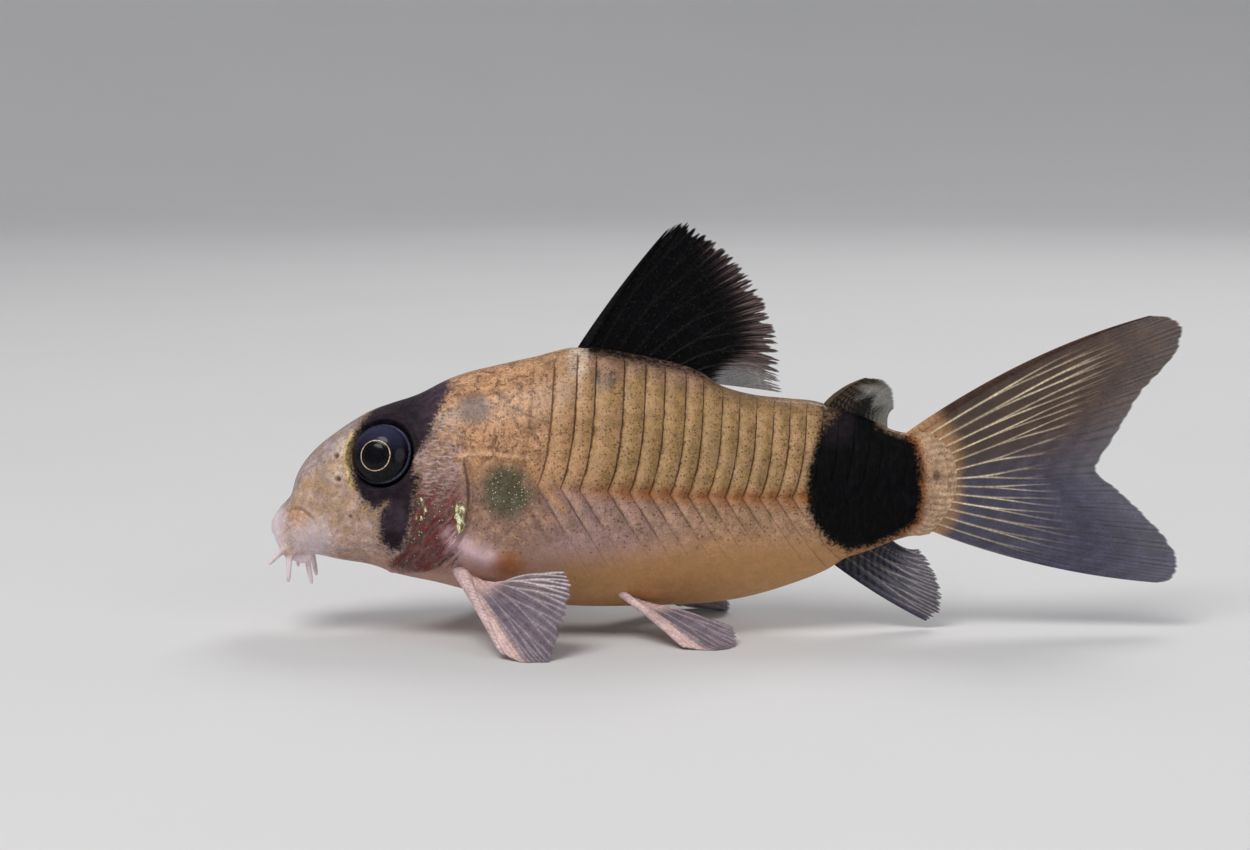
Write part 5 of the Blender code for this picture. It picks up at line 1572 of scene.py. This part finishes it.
def slanted_place(tree):
    """Places turned so that streaks run from the gill's foot up to its rear corner."""
    turned = tree.nodes.new("ShaderNodeVectorRotate")
    turned.rotation_type = "Y_AXIS"
    turned.inputs["Angle"].default_value = math.radians(48)
    tree.links.new(place_in_mm(tree), turned.inputs["Vector"])
    scaled = tree.nodes.new("ShaderNodeVectorMath")
    scaled.operation = "MULTIPLY"
    tree.links.new(turned.outputs[0], scaled.inputs[0])
    scaled.inputs[1].default_value = (1.0, 1.0, 4.5)
    return scaled.outputs[0]


def eye_material():
    """A wet black eye: dark pupil, thin gold ring, a dark iris with a painted navy sheen on its upper part, and a
    thin lilac outer ring.
    """
    material, tree, shader = new_material("wet_eye")
    place = place_in_mm(tree)
    grain = noise(tree, place, 6.0, 4.0)
    ring = stored(tree, "ring")
    ring = math_node(tree, "ADD", ring, math_node(
        tree, "MULTIPLY", math_node(tree, "SUBTRACT", noise(tree, place, 3.0, 3.0), 0.5), 0.05))
    # The iris turns from black to navy towards its top: a painted sheen
    upper = rise(tree, stored(tree, "lift"), -0.1, 0.75)
    iris = blend_colour(tree, upper, tuple(tone(7, 7, 8)), tuple(tone(44, 44, 70)))
    iris = blend_colour(tree, rise(tree, grain, 0.45, 0.75, 0.0, 0.3), iris,
                        tuple(tone(46, 44, 70)))
    colour = blend_colour(tree, rise(tree, ring, 0.8, 0.83), tuple(tone(7, 8, 13)), iris)
    band = math_node(tree, "MULTIPLY", rise(tree, ring, 0.815, 0.845),
                     rise(tree, ring, 0.86, 0.895, 1.0, 0.0))
    gold = blend_colour(tree, rise(tree, grain, 0.35, 0.65), tuple(tone(180, 140, 104)),
                        tuple(tone(236, 216, 188)))
    colour = blend_colour(tree, band, colour, gold)
    rim = stored(tree, "rim")
    outer = multiply(tree, rise(tree, rim, 1.6, 1.64), rise(tree, rim, 1.67, 1.72, 1.0, 0.0),
                     rise(tree, grain, 0.3, 0.6, 0.25, 0.65), stored(tree, "aft"))
    colour = blend_colour(tree, outer, colour, tuple(tone(128, 128, 156)))
    tree.links.new(colour, shader.inputs["Base Color"])
    tree.links.new(rise(tree, grain, 0.3, 0.7, 0.22, 0.34), shader.inputs["Roughness"])
    shader.inputs["Coat Weight"].default_value = 0.3
    shader.inputs["Coat Roughness"].default_value = 0.1
    shader.inputs["Specular IOR Level"].default_value = 0.03
    tree.links.new(bump(tree, grain, 0.00001, 0.4), shader.inputs["Normal"])
    return material


def fin_material(name, dashes, freckles):
    """Thin fin skin that lets light through, with jointed rays and scattered pigment."""
    material, tree, shader = new_material(name)
    place = place_in_mm(tree)
    ray = stored(tree, "ray")
    colour = stored(tree, "tint", True)
    coarse = noise(tree, place, 1.6, 4.0)
    fine = noise(tree, place, 8.0, 3.0)
    colour = blend_colour(tree, 1.0, colour, blend_grey(tree, coarse, 0.82, 1.18), "MULTIPLY")
    colour = blend_colour(tree, 1.0, colour, blend_grey(tree, fine, 0.88, 1.12), "MULTIPLY")
    along = stored(tree, "along")
    joint = math_node(tree, "FRACT", math_node(tree, "MULTIPLY", math_node(
        tree, "ADD", along, math_node(tree, "MULTIPLY", coarse, 0.3)), 3.2))
    joint = math_node(tree, "MULTIPLY", rise(tree, joint, 0.7, 0.85),
                      rise(tree, joint, 0.9, 1.0, 1.0, 0.0))
    joint = math_node(tree, "MULTIPLY", joint, ray)
    colour = blend_colour(tree, math_node(tree, "MULTIPLY", joint, dashes), colour,
                          tuple(tone(92, 74, 62)))
    dots = specks(tree, place, 6.5, 0.34, freckles)
    colour = blend_colour(tree, math_node(tree, "MULTIPLY", dots, 0.5), colour,
                          tuple(tone(64, 54, 54)))
    tree.links.new(colour, shader.inputs["Base Color"])
    cover = stored(tree, "cover")
    cover = math_node(tree, "MULTIPLY", cover, rise(tree, fine, 0.25, 0.6, 0.88, 1.0))
    cover = math_node(tree, "MAXIMUM", cover, multiply(
        tree, dots, 0.85, rise(tree, cover, 0.1, 0.4)))
    tree.links.new(cover, shader.inputs["Alpha"])
    tree.links.new(rise(tree, fine, 0.3, 0.7, 0.32, 0.5), shader.inputs["Roughness"])
    shader.inputs["Specular IOR Level"].default_value = 0.04
    height = math_node(tree, "ADD", math_node(tree, "MULTIPLY", fine, 0.5),
                       math_node(tree, "MULTIPLY", joint, -0.5))
    tree.links.new(bump(tree, height, 0.00003, 0.5), shader.inputs["Normal"])
    return material


# The studio
FOCUS = Vector((-0.005585, 0.0, 0.011385))
CAMERA_DISTANCE = 0.172
CAMERA_RISE = math.radians(7)


def build_stage():
    """A pale round floor that curves up to a wall far from the fish."""
    profile = [(0.0, 0.0), (0.1, 0.0), (0.25, 0.0), (0.4, 0.0)]
    for turn in np.linspace(0.1, math.pi / 2, 14):
        profile.append((0.4 + 0.25 * math.sin(turn), 0.25 * (1 - math.cos(turn))))
    profile.append((0.65, 0.7))
    columns = 96
    points, faces = [(0.0, 0.0, 0.0)], []
    for radius, z in profile[1:]:
        for k in range(columns):
            turn = 2 * math.pi * k / columns
            points.append((radius * math.cos(turn), radius * math.sin(turn), z))
    for k in range(columns):
        faces.append((0, 1 + k, 1 + (k + 1) % columns))
    for ring in range(len(profile) - 2):
        low, high = 1 + ring * columns, 1 + (ring + 1) * columns
        for k in range(columns):
            after = (k + 1) % columns
            faces.append((low + k, high + k, high + after, low + after))
    mesh = bpy.data.meshes.new("studio_floor")
    mesh.from_pydata(points, [], faces)
    mesh.shade_smooth()
    floor = bpy.data.objects.new("studio_floor", mesh)
    bpy.context.scene.collection.objects.link(floor)
    material, tree, shader = new_material("pale_floor")
    mottle = noise(tree, place_in_mm(tree), 0.02, 3.0)
    tree.links.new(blend_colour(tree, mottle, (0.66, 0.66, 0.67), (0.7, 0.7, 0.71)),
                   shader.inputs["Base Color"])
    shader.inputs["Roughness"].default_value = 0.75
    shader.inputs["Specular IOR Level"].default_value = 0.2
    floor.data.materials.append(material)


def add_light(name, place, size, power, colour):
    light = bpy.data.lights.new(name, "AREA")
    light.shape = "DISK"
    light.size = size
    light.energy = power
    light.color = colour
    obj = bpy.data.objects.new(name, light)
    obj.location = place
    aim = Vector((0.0, 0.0, 0.009)) - Vector(place)
    obj.rotation_euler = aim.to_track_quat("-Z", "Y").to_euler()
    bpy.context.scene.collection.objects.link(obj)


def build_studio():
    build_stage()
    add_light("key", (-0.14, -0.2, 0.36), 0.24, 1.12, (1.0, 0.97, 0.93))
    add_light("fill", (0.26, -0.3, 0.14), 0.3, 0.3, (0.93, 0.96, 1.0))
    add_light("rim", (0.12, 0.26, 0.3), 0.2, 0.5, (1.0, 0.98, 0.96))
    world = bpy.data.worlds.new("studio")
    world.use_nodes = True
    background = world.node_tree.nodes["Background"]
    background.inputs["Color"].default_value = (0.92, 0.95, 1.0, 1.0)
    background.inputs["Strength"].default_value = 0.36
    bpy.context.scene.world = world
    camera = bpy.data.cameras.new("camera")
    camera.lens = 90
    camera.sensor_width = 36
    camera.clip_start = 0.005
    obj = bpy.data.objects.new("camera", camera)
    back = Vector((0.0, -math.cos(CAMERA_RISE), math.sin(CAMERA_RISE)))
    obj.location = FOCUS + back * CAMERA_DISTANCE
    obj.rotation_euler = (math.pi / 2 - CAMERA_RISE, 0.0, 0.0)
    bpy.context.scene.collection.objects.link(obj)
    bpy.context.scene.camera = obj
    bpy.context.scene.view_settings.view_transform = "Standard"


# Putting it together
def finish_piece(piece, material, slot, *nodes):
    piece.data.materials.clear()
    piece.data.materials.append(material)
    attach(piece, "root")
    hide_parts(*nodes)


def main():
    build_studio()
    skin = skin_material()
    eye = eye_material()
    dark_fin = fin_material("dark_fin_skin", 0.1, 0.12)
    clear_fin = fin_material("clear_fin_skin", 0.45, 0.08)
    finish_piece(build_skin(), skin, "flank_plates", "head", "trunk", "tail")
    barbels = [kind + side for kind in BARBEL_TIPS for side in ("_left", "_right")]
    finish_piece(build_snout(), skin, "head_skin", *barbels)
    for side, name in ((-1, "left"), (1, "right")):
        finish_piece(build_eye(side), eye, "eye", "eye_" + name)
        rays = paired_rays(PECTORAL_ROOT_X, PECTORAL_ROOT_ANGLE, PECTORAL_TIPS, side,
                           (-0.1, 0.15, 0.25))
        fin = build_fin("pectoral_" + name, rays, PAIRED_STYLE, 22, 110)
        finish_piece(fin, clear_fin, "pale_fin", "pectoral_fin_" + name)
        rays = paired_rays(PELVIC_ROOT_X, PELVIC_ROOT_ANGLE, PELVIC_TIPS, side,
                           (0.0, 0.1, 0.12))
        fin = build_fin("pelvic_" + name, rays, PELVIC_STYLE, 20, 80)
        finish_piece(fin, clear_fin, "pale_fin", "pelvic_fin_" + name)
    fin = build_fin("dorsal", dorsal_rays(), DORSAL_STYLE, 44, 130)
    finish_piece(fin, dark_fin, "dark_fin", "dorsal_fin")
    fin = build_fin("adipose", adipose_rays(), ADIPOSE_STYLE, 26, 60)
    finish_piece(fin, clear_fin, "pale_fin", "adipose_fin")
    fin = build_fin("anal", anal_rays(), ANAL_STYLE, 26, 100)
    finish_piece(fin, clear_fin, "pale_fin", "anal_fin")
    fin = build_fin("caudal", caudal_rays(), CAUDAL_STYLE, 22, 190)
    finish_piece(fin, clear_fin, "pale_fin", "caudal_fin_upper", "caudal_fin_lower")


main()
